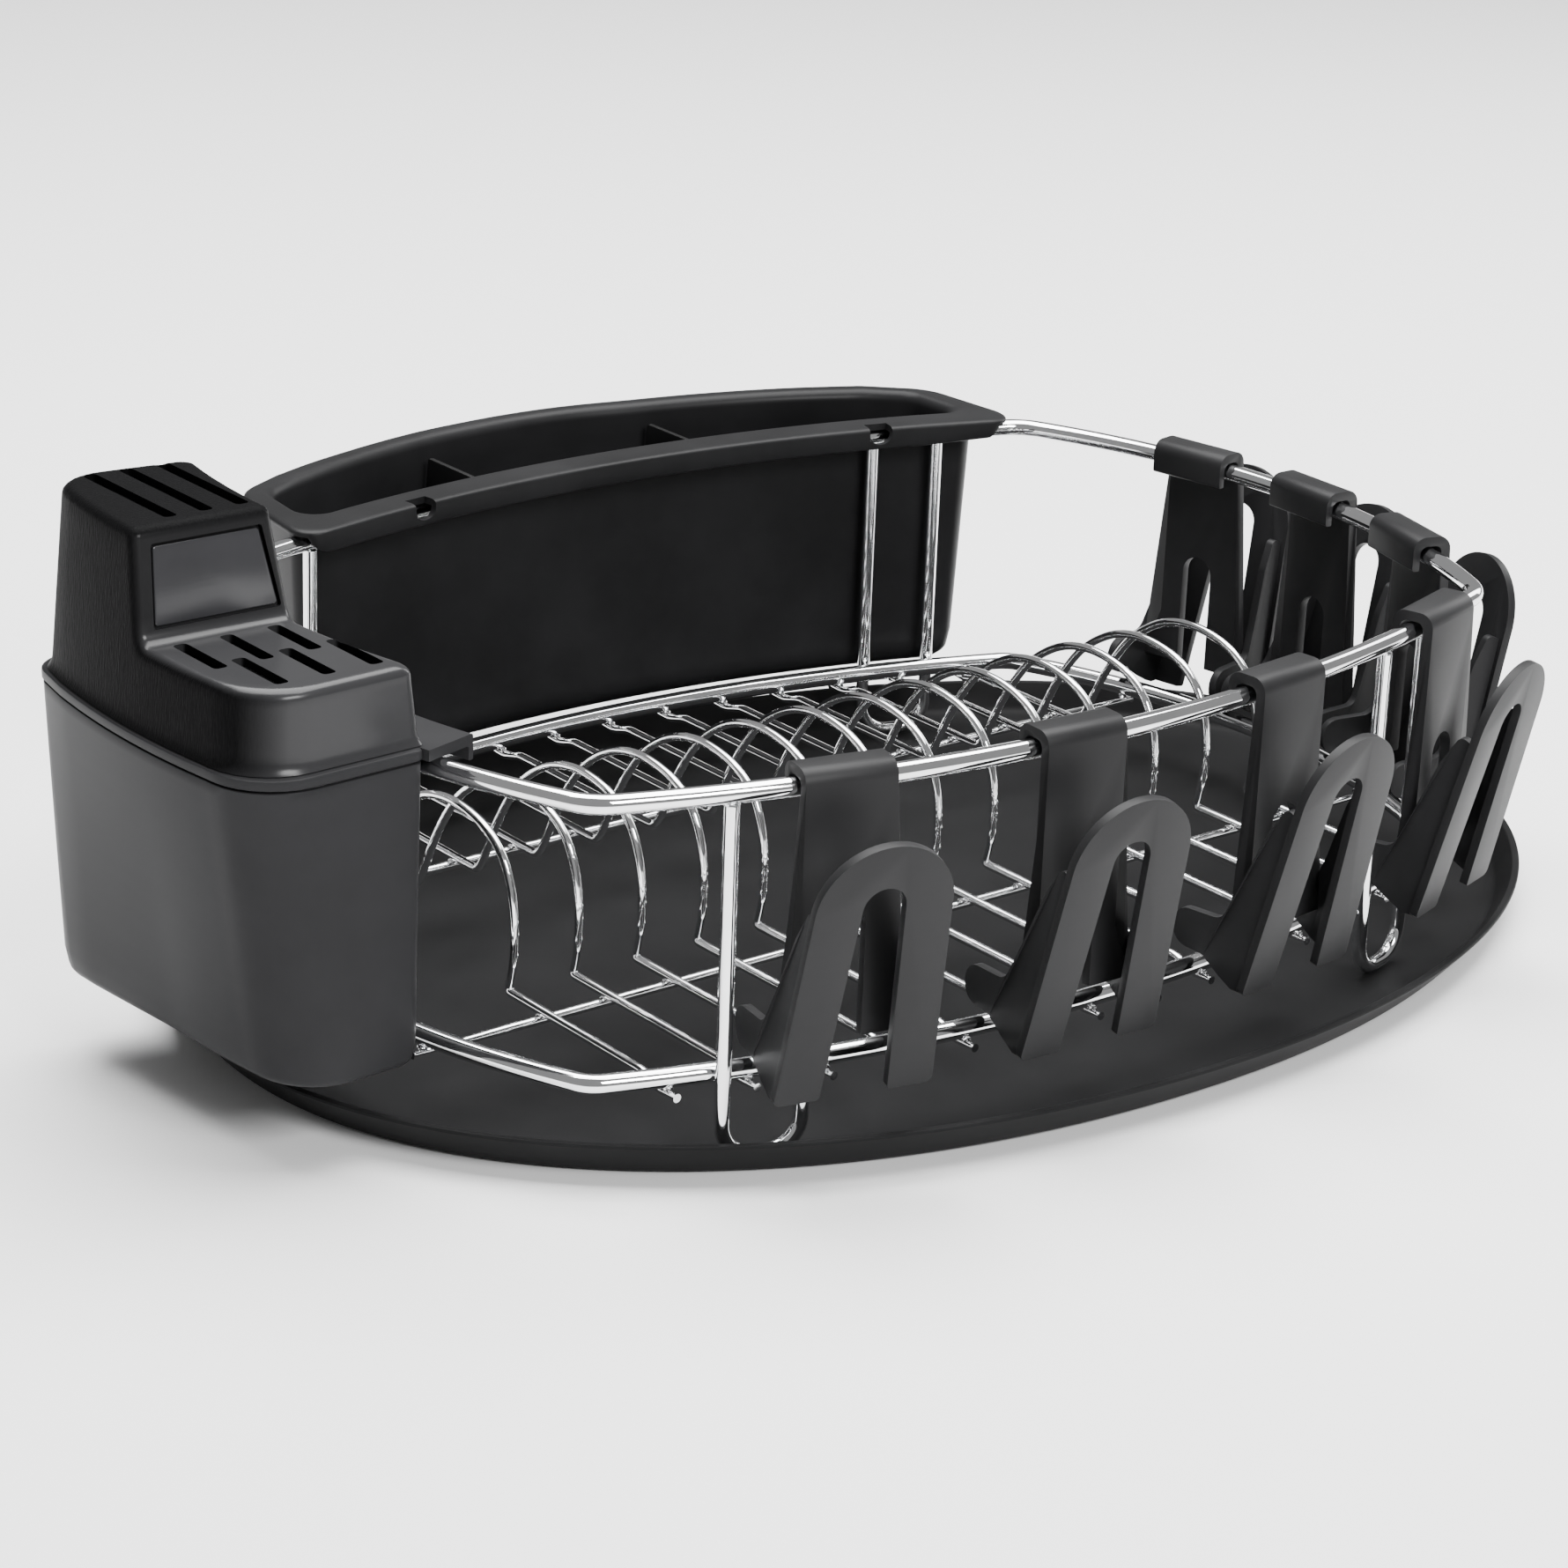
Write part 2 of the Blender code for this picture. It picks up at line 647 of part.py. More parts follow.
def build_bin():
    black = material("satin_black_bin", (0.022, 0.022, 0.024), 0.40)
    n = BIN_FRONT_STEPS
    band = bin_band()
    total = len(band)

    def skirt_z(i):
        """Lower edge of the rim's skirt: deep along the rack's inside, shallow elsewhere."""
        shallow = RAIL_COVER - 0.1
        x = band[i][0]
        if n + 3 < i < total - 3:
            return shallow
        near = max(0.0, min(1.0, min(x + 127.0, 173.0 - x) / 10.0))
        return shallow - (shallow - 122.6) * math.sqrt(max(0.0, 1 - (1 - near) ** 2))

    skirt = [skirt_z(i) for i in range(total)]
    low = BIN_BOTTOM
    rings = [bin_body(gap, z) for gap, z in (
        (7.0, low), (3.0, low + 1.2), (0.8, low + 4.0), (0.0, low + 8.0), (0.0, RAIL_COVER),
    )]
    rings.append(level(bin_band(2.4), RAIL_COVER))
    for gap, lift in ((2.2, 0.02), (0.4, 0.0), (0.0, 0.5)):
        rings.append([(x, y, min(z + lift, 129.3)) for (x, y), z in zip(bin_band(gap), skirt)])
    for gap, drop in ((0.0, 1.5), (0.7, 0.5), (2.6, 0.0)):
        rings.append(level(bin_band(gap), BIN_RIM - drop))
    for gap, drop in ((-3.6, 0.0), (-0.6, 1.2), (0.6, 4.2)):
        rings.append(level(bin_mouth(gap), BIN_RIM - drop))
    for gap, z in ((2.6, 112.0), (2.6, low + 8.0), (6.5, low + 3.0)):
        rings.append(bin_body(gap, z))
    notches = [notch_shape(-front_angle(x, TOP_OFFSET)) for x in (-75.0, 128.0)]
    ribs = []
    for x in DIVIDER_X:
        for side in (-1, 1):
            ribs += divider_ribs(x + side * 2.3)
    combine("utensil_bin", loft(rings), add=ribs, cut=notches, mat=black)


def notch_shape(angle):
    """Round-bottomed notch cut through the front of the rim down into its skirt."""
    half = 4.6
    outline = [(-half, 134.0), (half, 134.0)] + [
        (half * math.cos(t), 128.0 - 3.6 * math.sin(t)) for t in (math.pi * k / 4 for k in range(5))
    ]
    rings = []
    for o in (-3.6, -13.0):
        ring = []
        for u, z in outline:
            x, y = rail_point(angle, TOP_OFFSET + o)
            ring.append((x - math.sin(angle) * u, y + math.cos(angle) * u, z))
        rings.append(ring)
    return loft(rings)


def bin_inner_y(x, z, back):
    """Inner wall face of the bin at this x and height."""
    ring = bin_body(2.6, z)
    hits = []
    for (xa, ya, _), (xb, yb, _) in zip(ring, ring[1:] + ring[:1]):
        if (xa - x) * (xb - x) <= 0 and xa != xb:
            hits.append(ya + (yb - ya) * (x - xa) / (xb - xa))
    return max(hits) if back else min(hits)


def divider_ribs(x):
    """Two small vertical ribs, front and back, that hold one side of a divider."""
    shapes = []
    for back, sign in ((False, 1.0), (True, -1.0)):
        rings = []
        for z in (BIN_BOTTOM + 2.0, 110.0):
            y = bin_inner_y(x, z, back)
            outer, inner = y - sign * 1.2, y + sign * 2.6
            ring = [(x - 0.8, outer), (x + 0.8, outer), (x + 0.8, inner), (x - 0.8, inner)]
            rings.append(level(ring, z))
        shapes.append(loft(rings))
    return shapes


def build_dividers():
    black = material("satin_black_divider", (0.025, 0.025, 0.027), 0.45)
    for name, x in zip(("divider_left", "divider_right"), DIVIDER_X):
        ring = []
        low, high = BIN_BOTTOM + 3.3, 124.0
        for back in (False, True):
            sign = -1.0 if back else 1.0
            run = [
                (bin_inner_y(x, z, back) + sign * room, z)
                for z, room in ((low, 5.6), (low + 7.0, 0.9), (99.0, 0.9), (118.0, 1.8), (high, 5.0))
            ]
            ring += reversed(run) if back else run
        rings = [[(x + side, y, z) for y, z in ring] for side in (-1.0, 1.0)]
        make_object(name, loft(rings), mat=black)


# ---------------------------------------------------------------- cup holders

CLIP_HALF = 15.4
FORK_LOW = (14.0, 29.0)        # (outward, height) of the fork's foot, on its inner face
FORK_HIGH = (34.0, 117.5)
FORK_THICK = 3.0


def fork_outline():
    """Inverted U in (u, s): s runs up the leaning plate."""
    length = math.hypot(FORK_HIGH[0] - FORK_LOW[0], FORK_HIGH[1] - FORK_LOW[1])
    arch = 23.0
    centre = length - arch
    slot_centre = length - arch + 1.0
    slot = 7.2
    outer = [(-27.0, 2.0), (-25.5, 0.0), (-12.5, 0.0), (-11.5, 1.2)]
    inner = [(slot * math.cos(t), slot_centre + slot * math.sin(t))
             for t in [math.pi * (1 - k / 6) for k in range(7)]]
    outer += inner
    outer += [(11.5, 1.2), (12.5, 0.0), (25.5, 0.0), (27.0, 2.0)]
    outer += [(arch * math.cos(t), centre + arch * math.sin(t))
              for t in [math.pi * k / 10 for k in range(11)]]
    return outer


def build_hook(name, angle, black):
    cx, cy = rail_point(angle, TOP_OFFSET)
    nx, ny = math.cos(angle), math.sin(angle)
    tx, ty = -ny, nx

    def place(u, o, z):
        return (cx + tx * u + nx * o, cy + ty * u + ny * o, z)

    profile = [
        (-4.3, 119.5), (-7.2, 119.5), (-7.2, 128.4), (-5.6, 131.0), (-3.4, 131.8), (4.6, 131.8),
        (6.8, 130.8), (7.9, 128.4), (7.9, 62.0), (7.9, 43.0), (4.3, 43.0), (4.3, 62.0),
        (4.3, 127.2), (3.2, 128.35), (-3.2, 128.35), (-4.3, 127.2),
    ]
    rings = []
    for side in (-1, 1):
        ring = []
        for o, z in profile:
            half = CLIP_HALF + (7.6 if z < 50.0 else 0.0)
            ring.append(place(side * half, o, z))
        rings.append(ring)
    clip = loft(rings)

    lean = Vector((FORK_HIGH[0] - FORK_LOW[0], FORK_HIGH[1] - FORK_LOW[1])).normalized()
    out = Vector((lean.y, -lean.x))
    fork = loft([
        [place(u, FORK_LOW[0] + lean.x * s + out.x * t, FORK_LOW[1] + lean.y * s + out.y * t)
         for u, s in fork_outline()]
        for t in (0.0, FORK_THICK)
    ])

    webs = []
    outline = [
        (15.4, 29.0), (29.4, 91.0), (24.0, 93.0), (19.0, 86.0), (12.0, 70.0), (7.4, 58.0),
        (5.2, 52.0), (-9.5, 51.0), (-13.0, 48.6), (-14.4, 44.6), (-13.0, 40.4), (-9.6, 38.2),
        (-1.0, 37.2), (5.0, 32.4), (12.0, 29.0),
    ]
    for side in (-1, 1):
        rings = []
        for t in (0.0, 3.0):
            ring = []
            for o, z in outline:
                base = 25.6 - max(0.0, z - 52.0) * 0.115
                ring.append(place(side * (base - t), o, z))
            rings.append(ring)
        webs.append(loft(rings))

    slot = 6.5
    arch = [(-slot, 42.0), (slot, 42.0)] + [
        (slot * math.cos(t), 80.0 + slot * math.sin(t))
        for t in [math.pi * k / 6 for k in range(7)]
    ]
    cut = loft([[place(u, o, z) for u, z in arch] for o in (3.0, 9.5)])
    combine(name, clip, add=[fork] + webs, cut=[cut], origin=(cx, cy, TOP_RAIL_Z), mat=black)


def build_hooks():
    black = material("matt_black_holder", (0.018, 0.018, 0.019), 0.55)
    places = [front_angle(x, TOP_OFFSET) for x in HOOK_X]
    places += [side_angle(y, TOP_OFFSET) for y in HOOK_Y]
    for i, angle in enumerate(places):
        build_hook(f"cup_holder_{i + 1}", angle, black)


def main():
    for obj in list(bpy.data.objects):
        bpy.data.objects.remove(obj)
    chrome = material("polished_chrome", (0.78, 0.79, 0.80), 0.10, 1.0)
    build_tray()
    build_rails(chrome)
    build_wires(chrome)
    build_legs(chrome)
    build_caddy()
    build_lid()
    build_bin()
    build_dividers()
    build_hooks()


main()
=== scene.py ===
"""Looks of the dish drying rack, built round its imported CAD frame.

Shapes are written in millimetres in the rack's own plan frame, the one the CAD uses:
x to the right, y to the back, z up. raw_object() turns them into metres in the shared
frame.
"""

import math

import bmesh
import bpy
from mathutils import Matrix, Vector


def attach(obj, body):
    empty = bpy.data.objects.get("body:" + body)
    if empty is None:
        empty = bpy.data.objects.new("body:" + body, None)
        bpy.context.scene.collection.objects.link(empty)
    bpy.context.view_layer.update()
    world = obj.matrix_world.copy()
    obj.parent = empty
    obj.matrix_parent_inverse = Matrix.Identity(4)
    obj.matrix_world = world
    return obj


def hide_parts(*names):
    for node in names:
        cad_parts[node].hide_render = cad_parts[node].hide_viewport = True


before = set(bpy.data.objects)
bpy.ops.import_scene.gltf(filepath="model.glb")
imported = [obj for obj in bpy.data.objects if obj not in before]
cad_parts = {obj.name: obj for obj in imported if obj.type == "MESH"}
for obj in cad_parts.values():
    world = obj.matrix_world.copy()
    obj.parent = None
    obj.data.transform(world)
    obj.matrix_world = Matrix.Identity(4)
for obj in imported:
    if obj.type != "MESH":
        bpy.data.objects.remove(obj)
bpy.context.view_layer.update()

MM = 0.001
ORIGIN_SHIFT = (-1.23, -14.62, 0.0)

# rack plan: the bottom rail's arcs, with the top rail TOP_OFFSET outside them
FRONT_ARC_R = 510.6
FRONT_ARC_CY = 361.3
SIDE_ARC_R = 256.3
SIDE_ARC_CX = -45.7
CORNER_R = 12.0
RAIL_R = 3.25
TOP_OFFSET = 6.0
BOTTOM_RAIL_Z = 31.55
TOP_RAIL_Z = 124.7

# wires
PLATE_WIRE_R = 1.5
PLATE_WIRE_COUNT = 14
PLATE_WIRE_X0 = -160.0
PLATE_WIRE_PITCH = 25.0
PLATE_WIRE_Z = 29.0
PLATE_WIRE_DIP = 2.5
NUB = 2.0
ARCH = (
    (-38.9, 2.2), (-39.8, 5.5), (-41.0, 12.0), (-41.5, 20.6), (-40.8, 29.0),
    (-39.0, 36.0), (-34.5, 44.4), (-26.0, 50.9), (-14.0, 54.2), (-2.0, 54.5),
    (9.0, 52.0), (19.0, 46.8), (28.0, 39.5), (35.5, 30.0), (42.8, 18.0),
    (48.0, 7.4), (50.3, 3.2),
)
CROSS_WIRE_Y = (-56.5, 67.7)
LEG_R = 2.5
LEG_SPACING = 26.5
LEG_X = 134.0
BACK_RIGHT_LEG_X = 142.0
LEG_BEND = 11.0
GAP = 0.3

# tray
TRAY_A = 262.0
TRAY_B = 184.0
TRAY_CX = 20.0
TRAY_POWER = 2.1
TRAY_FLOOR = 2.5
TRAY_RIM = 13.5
TRAY_SEGMENTS = 288

# moulded pieces: what they clear and cover of the top rail, and where they stand
RAIL_CLEAR = 4.6
RIM_TOP = 132.0
RAIL_COVER = 128.35
CADDY_LEFT = -279.24
CADDY_FRONT = -71.0
CADDY_BACK = 62.5
CADDY_BOTTOM = 28.0
CADDY_BOW = 5.3
CADDY_DRAFT = 15.0
CADDY_WALL = 2.2
CADDY_FRONT_LEFT_R = 22.0
CADDY_BACK_LEFT_R = 14.0
CADDY_CORNER_STEPS = 7
PLATE_REACH = -14.2
LID_BASE = 132.3
LID_STEP = 157.5
LID_TOP = 192.0
BIN_RIM = 130.9
BIN_BOTTOM = 29.0
BIN_WALL = 2.6
HOOK_X = (-112.5, -30.0, 60.0, 152.0)
HOOK_Y = (-67.0, -10.0, 47.0)
DIVIDER_X = (-29.0, 68.0)


# ---------------------------------------------------------------- plan helpers

def corner_circle():
    """Centre of the arc that joins the front and right arcs, and the angles it spans."""
    r1 = FRONT_ARC_R - CORNER_R
    r2 = SIDE_ARC_R - CORNER_R
    dx, dy = SIDE_ARC_CX, -FRONT_ARC_CY
    dist = math.hypot(dx, dy)
    along = (r1 * r1 - r2 * r2 + dist * dist) / (2 * dist)
    off = math.sqrt(r1 * r1 - along * along)
    ux, uy = dx / dist, dy / dist
    px = along * ux - off * uy
    py = FRONT_ARC_CY + along * uy + off * ux
    start = math.atan2(py - FRONT_ARC_CY, px)
    end = math.atan2(py, px - SIDE_ARC_CX)
    return (px, py), start, end


CORNER_C, CORNER_START, CORNER_END = corner_circle()


def rail_point(angle, offset=0.0):
    """Point of the bottom rail whose outward normal has this angle, moved outward."""
    nx, ny = math.cos(angle), math.sin(angle)
    sx = 1.0 if nx >= 0 else -1.0
    sy = 1.0 if ny >= 0 else -1.0
    quad = math.atan2(-abs(ny), abs(nx))
    if quad < CORNER_START:
        cx, cy, radius = 0.0, FRONT_ARC_CY, FRONT_ARC_R
    elif quad < CORNER_END:
        cx, cy, radius = CORNER_C[0], CORNER_C[1], CORNER_R
    else:
        cx, cy, radius = SIDE_ARC_CX, 0.0, SIDE_ARC_R
    x = cx + radius * math.cos(quad)
    y = cy + radius * math.sin(quad)
    return (sx * x + offset * nx, -sy * y + offset * ny)


def front_angle(x, offset=0.0):
    """Outward normal's angle on the front rail at this x."""
    return -math.pi / 2 + math.asin(x / (FRONT_ARC_R + offset))


def side_angle(y, offset=0.0):
    """Outward normal's angle on the right rail at this y."""
    return math.asin(y / (SIDE_ARC_R + offset))


def front_y(x, offset=0.0):
    """Front rail's y at this x."""
    return FRONT_ARC_CY - math.sqrt((FRONT_ARC_R + offset) ** 2 - x * x)


def side_x(y, offset=0.0):
    """Right rail's x at this y."""
    return SIDE_ARC_CX + math.sqrt((SIDE_ARC_R + offset) ** 2 - y * y)


def rail_angles(n_front, n_corner, n_side):
    """Stations once round the rail, with this many steps on each arc of a quarter."""
    quarter = []
    for i in range(n_front):
        quarter.append(-math.pi / 2 + (CORNER_START + math.pi / 2) * i / n_front)
    for i in range(n_corner):
        quarter.append(CORNER_START + (CORNER_END - CORNER_START) * i / n_corner)
    for i in range(n_side):
        quarter.append(CORNER_END * (1 - i / n_side))
    right_back = [-a for a in reversed(quarter)][:-1]
    right = quarter + [0.0] + right_back
    left = [math.pi - a for a in reversed(right)]
    return right + left


def superellipse(a, b, power, count, cx):
    """Counter-clockwise outline, from an ellipse towards a rectangle as the power grows."""
    points = []
    for i in range(count):
        t = 2 * math.pi * i / count
        c, s = math.cos(t), math.sin(t)
        x = a * math.copysign(abs(c) ** (2 / power), c)
        y = b * math.copysign(abs(s) ** (2 / power), s)
        points.append((cx + x, y))
    return points


def fillet(points, radii, steps=6, closed=False):
    """Polyline with its corners rounded by arcs."""
    count = len(points)
    out = []
    for i, p in enumerate(points):
        radius = radii[i] if hasattr(radii, "__len__") else radii
        here = Vector(p)
        if radius <= 0 or (not closed and i in (0, count - 1)):
            out.append(tuple(here))
            continue
        prev = (Vector(points[i - 1]) - here)
        post = (Vector(points[(i + 1) % count]) - here)
        shares = [0.49, 0.49]
        if hasattr(radii, "__len__"):
            shares = [0.49 if radii[j] > 0 else 0.97 for j in (i - 1, (i + 1) % count)]
        room = min(prev.length * shares[0], post.length * shares[1])
        prev.normalize()
        post.normalize()
        half = prev.angle(post) / 2
        if half > math.pi / 2 - 1e-3:
            out.append(tuple(here))
            continue
        reach = min(radius / math.tan(half), room)
        radius = reach * math.tan(half)
        centre = here + (prev + post).normalized() * (radius / math.sin(half))
        a = here + prev * reach - centre
        b = here + post * reach - centre
        for k in range(steps + 1):
            ray = a.slerp(b, k / steps)
            out.append(tuple(centre + ray.normalized() * radius))
    return out


def spline(points, per_span):
    """Centripetal Catmull-Rom curve through the points."""
    pts = [Vector(p) for p in points]
    count = len(pts)
    out = []
    for i in range(count - 1):
        p1, p2 = pts[i], pts[i + 1]
        p0 = pts[i - 1] if i > 0 else p1 * 2 - p2
        p3 = pts[i + 2] if i + 2 < count else p2 * 2 - p1
        d1 = max(1e-6, (p1 - p0).length ** 0.5)
        d2 = max(1e-6, (p2 - p1).length ** 0.5)
        d3 = max(1e-6, (p3 - p2).length ** 0.5)
        m1 = (p2 - p1) + ((p1 - p0) / d1 - (p2 - p0) / (d1 + d2)) * d2
        m2 = (p2 - p1) + ((p3 - p2) / d3 - (p3 - p1) / (d2 + d3)) * d2
        for k in range(per_span):
            t = k / per_span
            t2, t3 = t * t, t * t * t
            out.append(tuple(
                p1 * (2 * t3 - 3 * t2 + 1) + m1 * (t3 - 2 * t2 + t)
                + p2 * (-2 * t3 + 3 * t2) + m2 * (t3 - t2)
            ))
    out.append(tuple(pts[-1]))
    return out


def level(outline, z):
    """The flat outline at this height."""
    return [(x, y, z) for x, y in outline]


# ---------------------------------------------------------------- mesh helpers

def loft(rings, cap_end=True, closed=False):
    """Skin over rings of points, capped at both ends, or joined into a loop if closed."""
    count = len(rings[0])
    verts = [p for ring in rings for p in ring]
    faces = []
    if not closed:
        faces.append(tuple(reversed(range(count))))
    for r in range(len(rings) - (0 if closed else 1)):
        base, top = r * count, (r + 1) % len(rings) * count
        for i in range(count):
            j = (i + 1) % count
            faces.append((base + i, base + j, top + j, top + i))
    if cap_end and not closed:
        last = (len(rings) - 1) * count
        faces.append(tuple(range(last, last + count)))
    return verts, faces


WIRE_END_TURNS = (0.75, 0.35, 0.0)
WIRE_END_DEPTH = 0.5
WIRE_NECK = 0.55


def tube(path, radius, sides, closed=False, trimmed_ends=False):
    """Round wire along a 3-D path; trimmed ends narrow just behind the cut face."""
    pts = [Vector(p) for p in path]
    count = len(pts)
    rings = []
    normal = None
    for i in range(count):
        if closed:
            before, after = pts[i - 1], pts[(i + 1) % count]
        else:
            before, after = pts[max(i - 1, 0)], pts[min(i + 1, count - 1)]
        tangent = (after - before).normalized()
        if normal is None:
            normal = tangent.cross(Vector((0, 0, 1)))
            if normal.length < 0.2:
                normal = tangent.cross(Vector((1, 0, 0)))
        normal = (normal - tangent * normal.dot(tangent)).normalized()
        side = tangent.cross(normal)
        steps = [(pts[i], radius)]
        if trimmed_ends and i in (0, count - 1):
            inward = tangent if i == 0 else -tangent
            shares = [math.sin(turn * math.pi / 2) for turn in WIRE_END_TURNS]
            steps = [
                (pts[i] + inward * radius * WIRE_END_DEPTH * (1 - share),
                 radius * (WIRE_NECK + (1 - WIRE_NECK) * share))
                for share in (shares if i == 0 else reversed(shares))
            ]
        for centre, size in steps:
            rings.append([
                tuple(centre + (normal * math.cos(t) + side * math.sin(t)) * size)
                for t in (2 * math.pi * (k + 0.5) / sides for k in range(sides))
            ])
    return loft(rings, closed=closed)


def join_shapes(shapes):
    """Several (points, faces) shapes as one."""
    verts, faces = [], []
    for v, f in shapes:
        base = len(verts)
        verts += v
        faces += [tuple(i + base for i in face) for face in f]
    return verts, faces


def blob(centre, sx, sy, sz, rings=6, sides=10):
    """Small ellipsoid, for a weld bead."""
    cx, cy, cz = centre
    verts = [(cx, cy, cz - sz)]
    for r in range(1, rings):
        a = -math.pi / 2 + math.pi * r / rings
        for k in range(sides):
            t = 2 * math.pi * k / sides
            verts.append((
                cx + sx * math.cos(a) * math.cos(t), cy + sy * math.cos(a) * math.sin(t),
                cz + sz * math.sin(a),
            ))
    verts.append((cx, cy, cz + sz))
    faces = [(0, 1 + (k + 1) % sides, 1 + k) for k in range(sides)]
    for r in range(rings - 2):
        for k in range(sides):
            a = 1 + r * sides + k
            b = 1 + r * sides + (k + 1) % sides
            faces.append((a, b, b + sides, a + sides))
    top = len(verts) - 1
    base = 1 + (rings - 2) * sides
    faces += [(base + k, base + (k + 1) % sides, top) for k in range(sides)]
    return verts, faces


def raw_object(name, shape):
    """Object of a (points, faces) shape, moved from the plan frame to the shared one."""
    verts, faces = shape
    mesh = bpy.data.meshes.new(name)
    sx, sy, sz = ORIGIN_SHIFT
    placed = [((x + sx) * MM, (y + sy) * MM, (z + sz) * MM) for x, y, z in verts]
    mesh.from_pydata(placed, [], faces)
    work = bmesh.new()
    work.from_mesh(mesh)
    bmesh.ops.recalc_face_normals(work, faces=work.faces)
    work.to_mesh(mesh)
    work.free()
    obj = bpy.data.objects.new(name, mesh)
    bpy.context.scene.collection.objects.link(obj)
    return obj


def apply_modifiers(obj):
    """Replaces the mesh by its modified result."""
    bpy.context.view_layer.update()
    graph = bpy.context.evaluated_depsgraph_get()
    baked = bpy.data.meshes.new_from_object(obj.evaluated_get(graph))
    obj.modifiers.clear()
    obj.data = baked


def shade(obj, angle):
    """Smooth shading with a sharp edge wherever the surface turns by more than angle."""
    work = bmesh.new()
    work.from_mesh(obj.data)
    limit = math.radians(angle)
    for face in work.faces:
        face.smooth = True
    for edge in work.edges:
        edge.smooth = not (len(edge.link_faces) == 2 and edge.calc_face_angle(0.0) > limit)
    work.to_mesh(obj.data)
    work.free()


MERGE_DISTANCE = 0.004


def solid(name, base, add=(), cut=(), bevel=0.0, segments=2, bevel_angle=40.0):
    """One mesh: base with shapes united and removed, then edges rounded."""
    obj = raw_object(name, base)
    helpers = []
    for operation, shapes in (("UNION", add), ("DIFFERENCE", cut)):
        for i, shape in enumerate(shapes):
            helper = raw_object(f"{name}_helper", shape)
            helpers.append(helper)
            modifier = obj.modifiers.new(f"{operation.lower()}_{i}", "BOOLEAN")
            modifier.operation = operation
            modifier.solver = "EXACT"
            modifier.object = helper
    if helpers:
        apply_modifiers(obj)
    for helper in helpers:
        bpy.data.objects.remove(helper)
    work = bmesh.new()
    work.from_mesh(obj.data)
    bmesh.ops.remove_doubles(work, verts=work.verts, dist=MERGE_DISTANCE * MM)
    work.to_mesh(obj.data)
    work.free()
    if bevel > 0:
        modifier = obj.modifiers.new("edges", "BEVEL")
        modifier.width = bevel * MM
        modifier.segments = segments
        modifier.limit_method = "ANGLE"
        modifier.angle_limit = math.radians(bevel_angle)
        modifier.use_clamp_overlap = True
        modifier.miter_outer = "MITER_ARC"
        apply_modifiers(obj)
    return obj


def piece(obj, body, mat, nodes=(), angle=32.0):
    """Finishes a visible piece: shading, material, the body it rides on, the CAD it stands for."""
    shade(obj, angle)
    obj.data.materials.clear()
    obj.data.materials.append(mat)
    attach(obj, body)
    if nodes:
        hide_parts(*nodes)


# ---------------------------------------------------------------- materials

PLASTIC_IOR = 1.46
GRAIN_SCALE = 2600.0
GRAIN_DEPTH = 0.0002


def new_material(name):
    mat = bpy.data.materials.new(name)
    mat.use_nodes = True
    nodes = mat.node_tree.nodes
    return mat, nodes, mat.node_tree.links, nodes["Principled BSDF"]


def noise(nodes, links, source, scale, detail, roughness=0.5, stretch=None):
    node = nodes.new("ShaderNodeTexNoise")
    node.inputs["Scale"].default_value = scale
    node.inputs["Detail"].default_value = detail
    node.inputs["Roughness"].default_value = roughness
    if stretch:
        mapping = nodes.new("ShaderNodeMapping")
        mapping.inputs["Scale"].default_value = stretch
        links.new(source, mapping.inputs["Vector"])
        source = mapping.outputs["Vector"]
    links.new(source, node.inputs["Vector"])
    return node.outputs["Fac"]


def ramp(nodes, links, source, low, high, out_low, out_high):
    node = nodes.new("ShaderNodeMapRange")
    node.inputs["From Min"].default_value = low
    node.inputs["From Max"].default_value = high
    node.inputs["To Min"].default_value = out_low
    node.inputs["To Max"].default_value = out_high
    links.new(source, node.inputs["Value"])
    return node.outputs["Result"]


def colour_mix(nodes, links, factor, first, second):
    """Mix of two colours; each is a socket or three numbers."""
    node = nodes.new("ShaderNodeMix")
    node.data_type = "RGBA"
    links.new(factor, node.inputs["Factor"])
    for key, value in (("A", first), ("B", second)):
        if isinstance(value, tuple):
            node.inputs[key].default_value = (*value, 1.0)
        else:
            links.new(value, node.inputs[key])
    return node.outputs["Result"]


def math_node(nodes, links, operation, *values):
    """Math node; each input is a socket or a number."""
    node = nodes.new("ShaderNodeMath")
    node.operation = operation
    for socket, value in zip(node.inputs, values):
        if isinstance(value, float):
            socket.default_value = value
        else:
            links.new(value, socket)
    return node.outputs["Value"]


def bump(nodes, links, height, strength, distance, under=None):
    """Bump normal, laid over another one if given."""
    node = nodes.new("ShaderNodeBump")
    node.inputs["Strength"].default_value = strength
    node.inputs["Distance"].default_value = distance
    links.new(height, node.inputs["Height"])
    if under:
        links.new(under, node.inputs["Normal"])
    return node.outputs["Normal"]


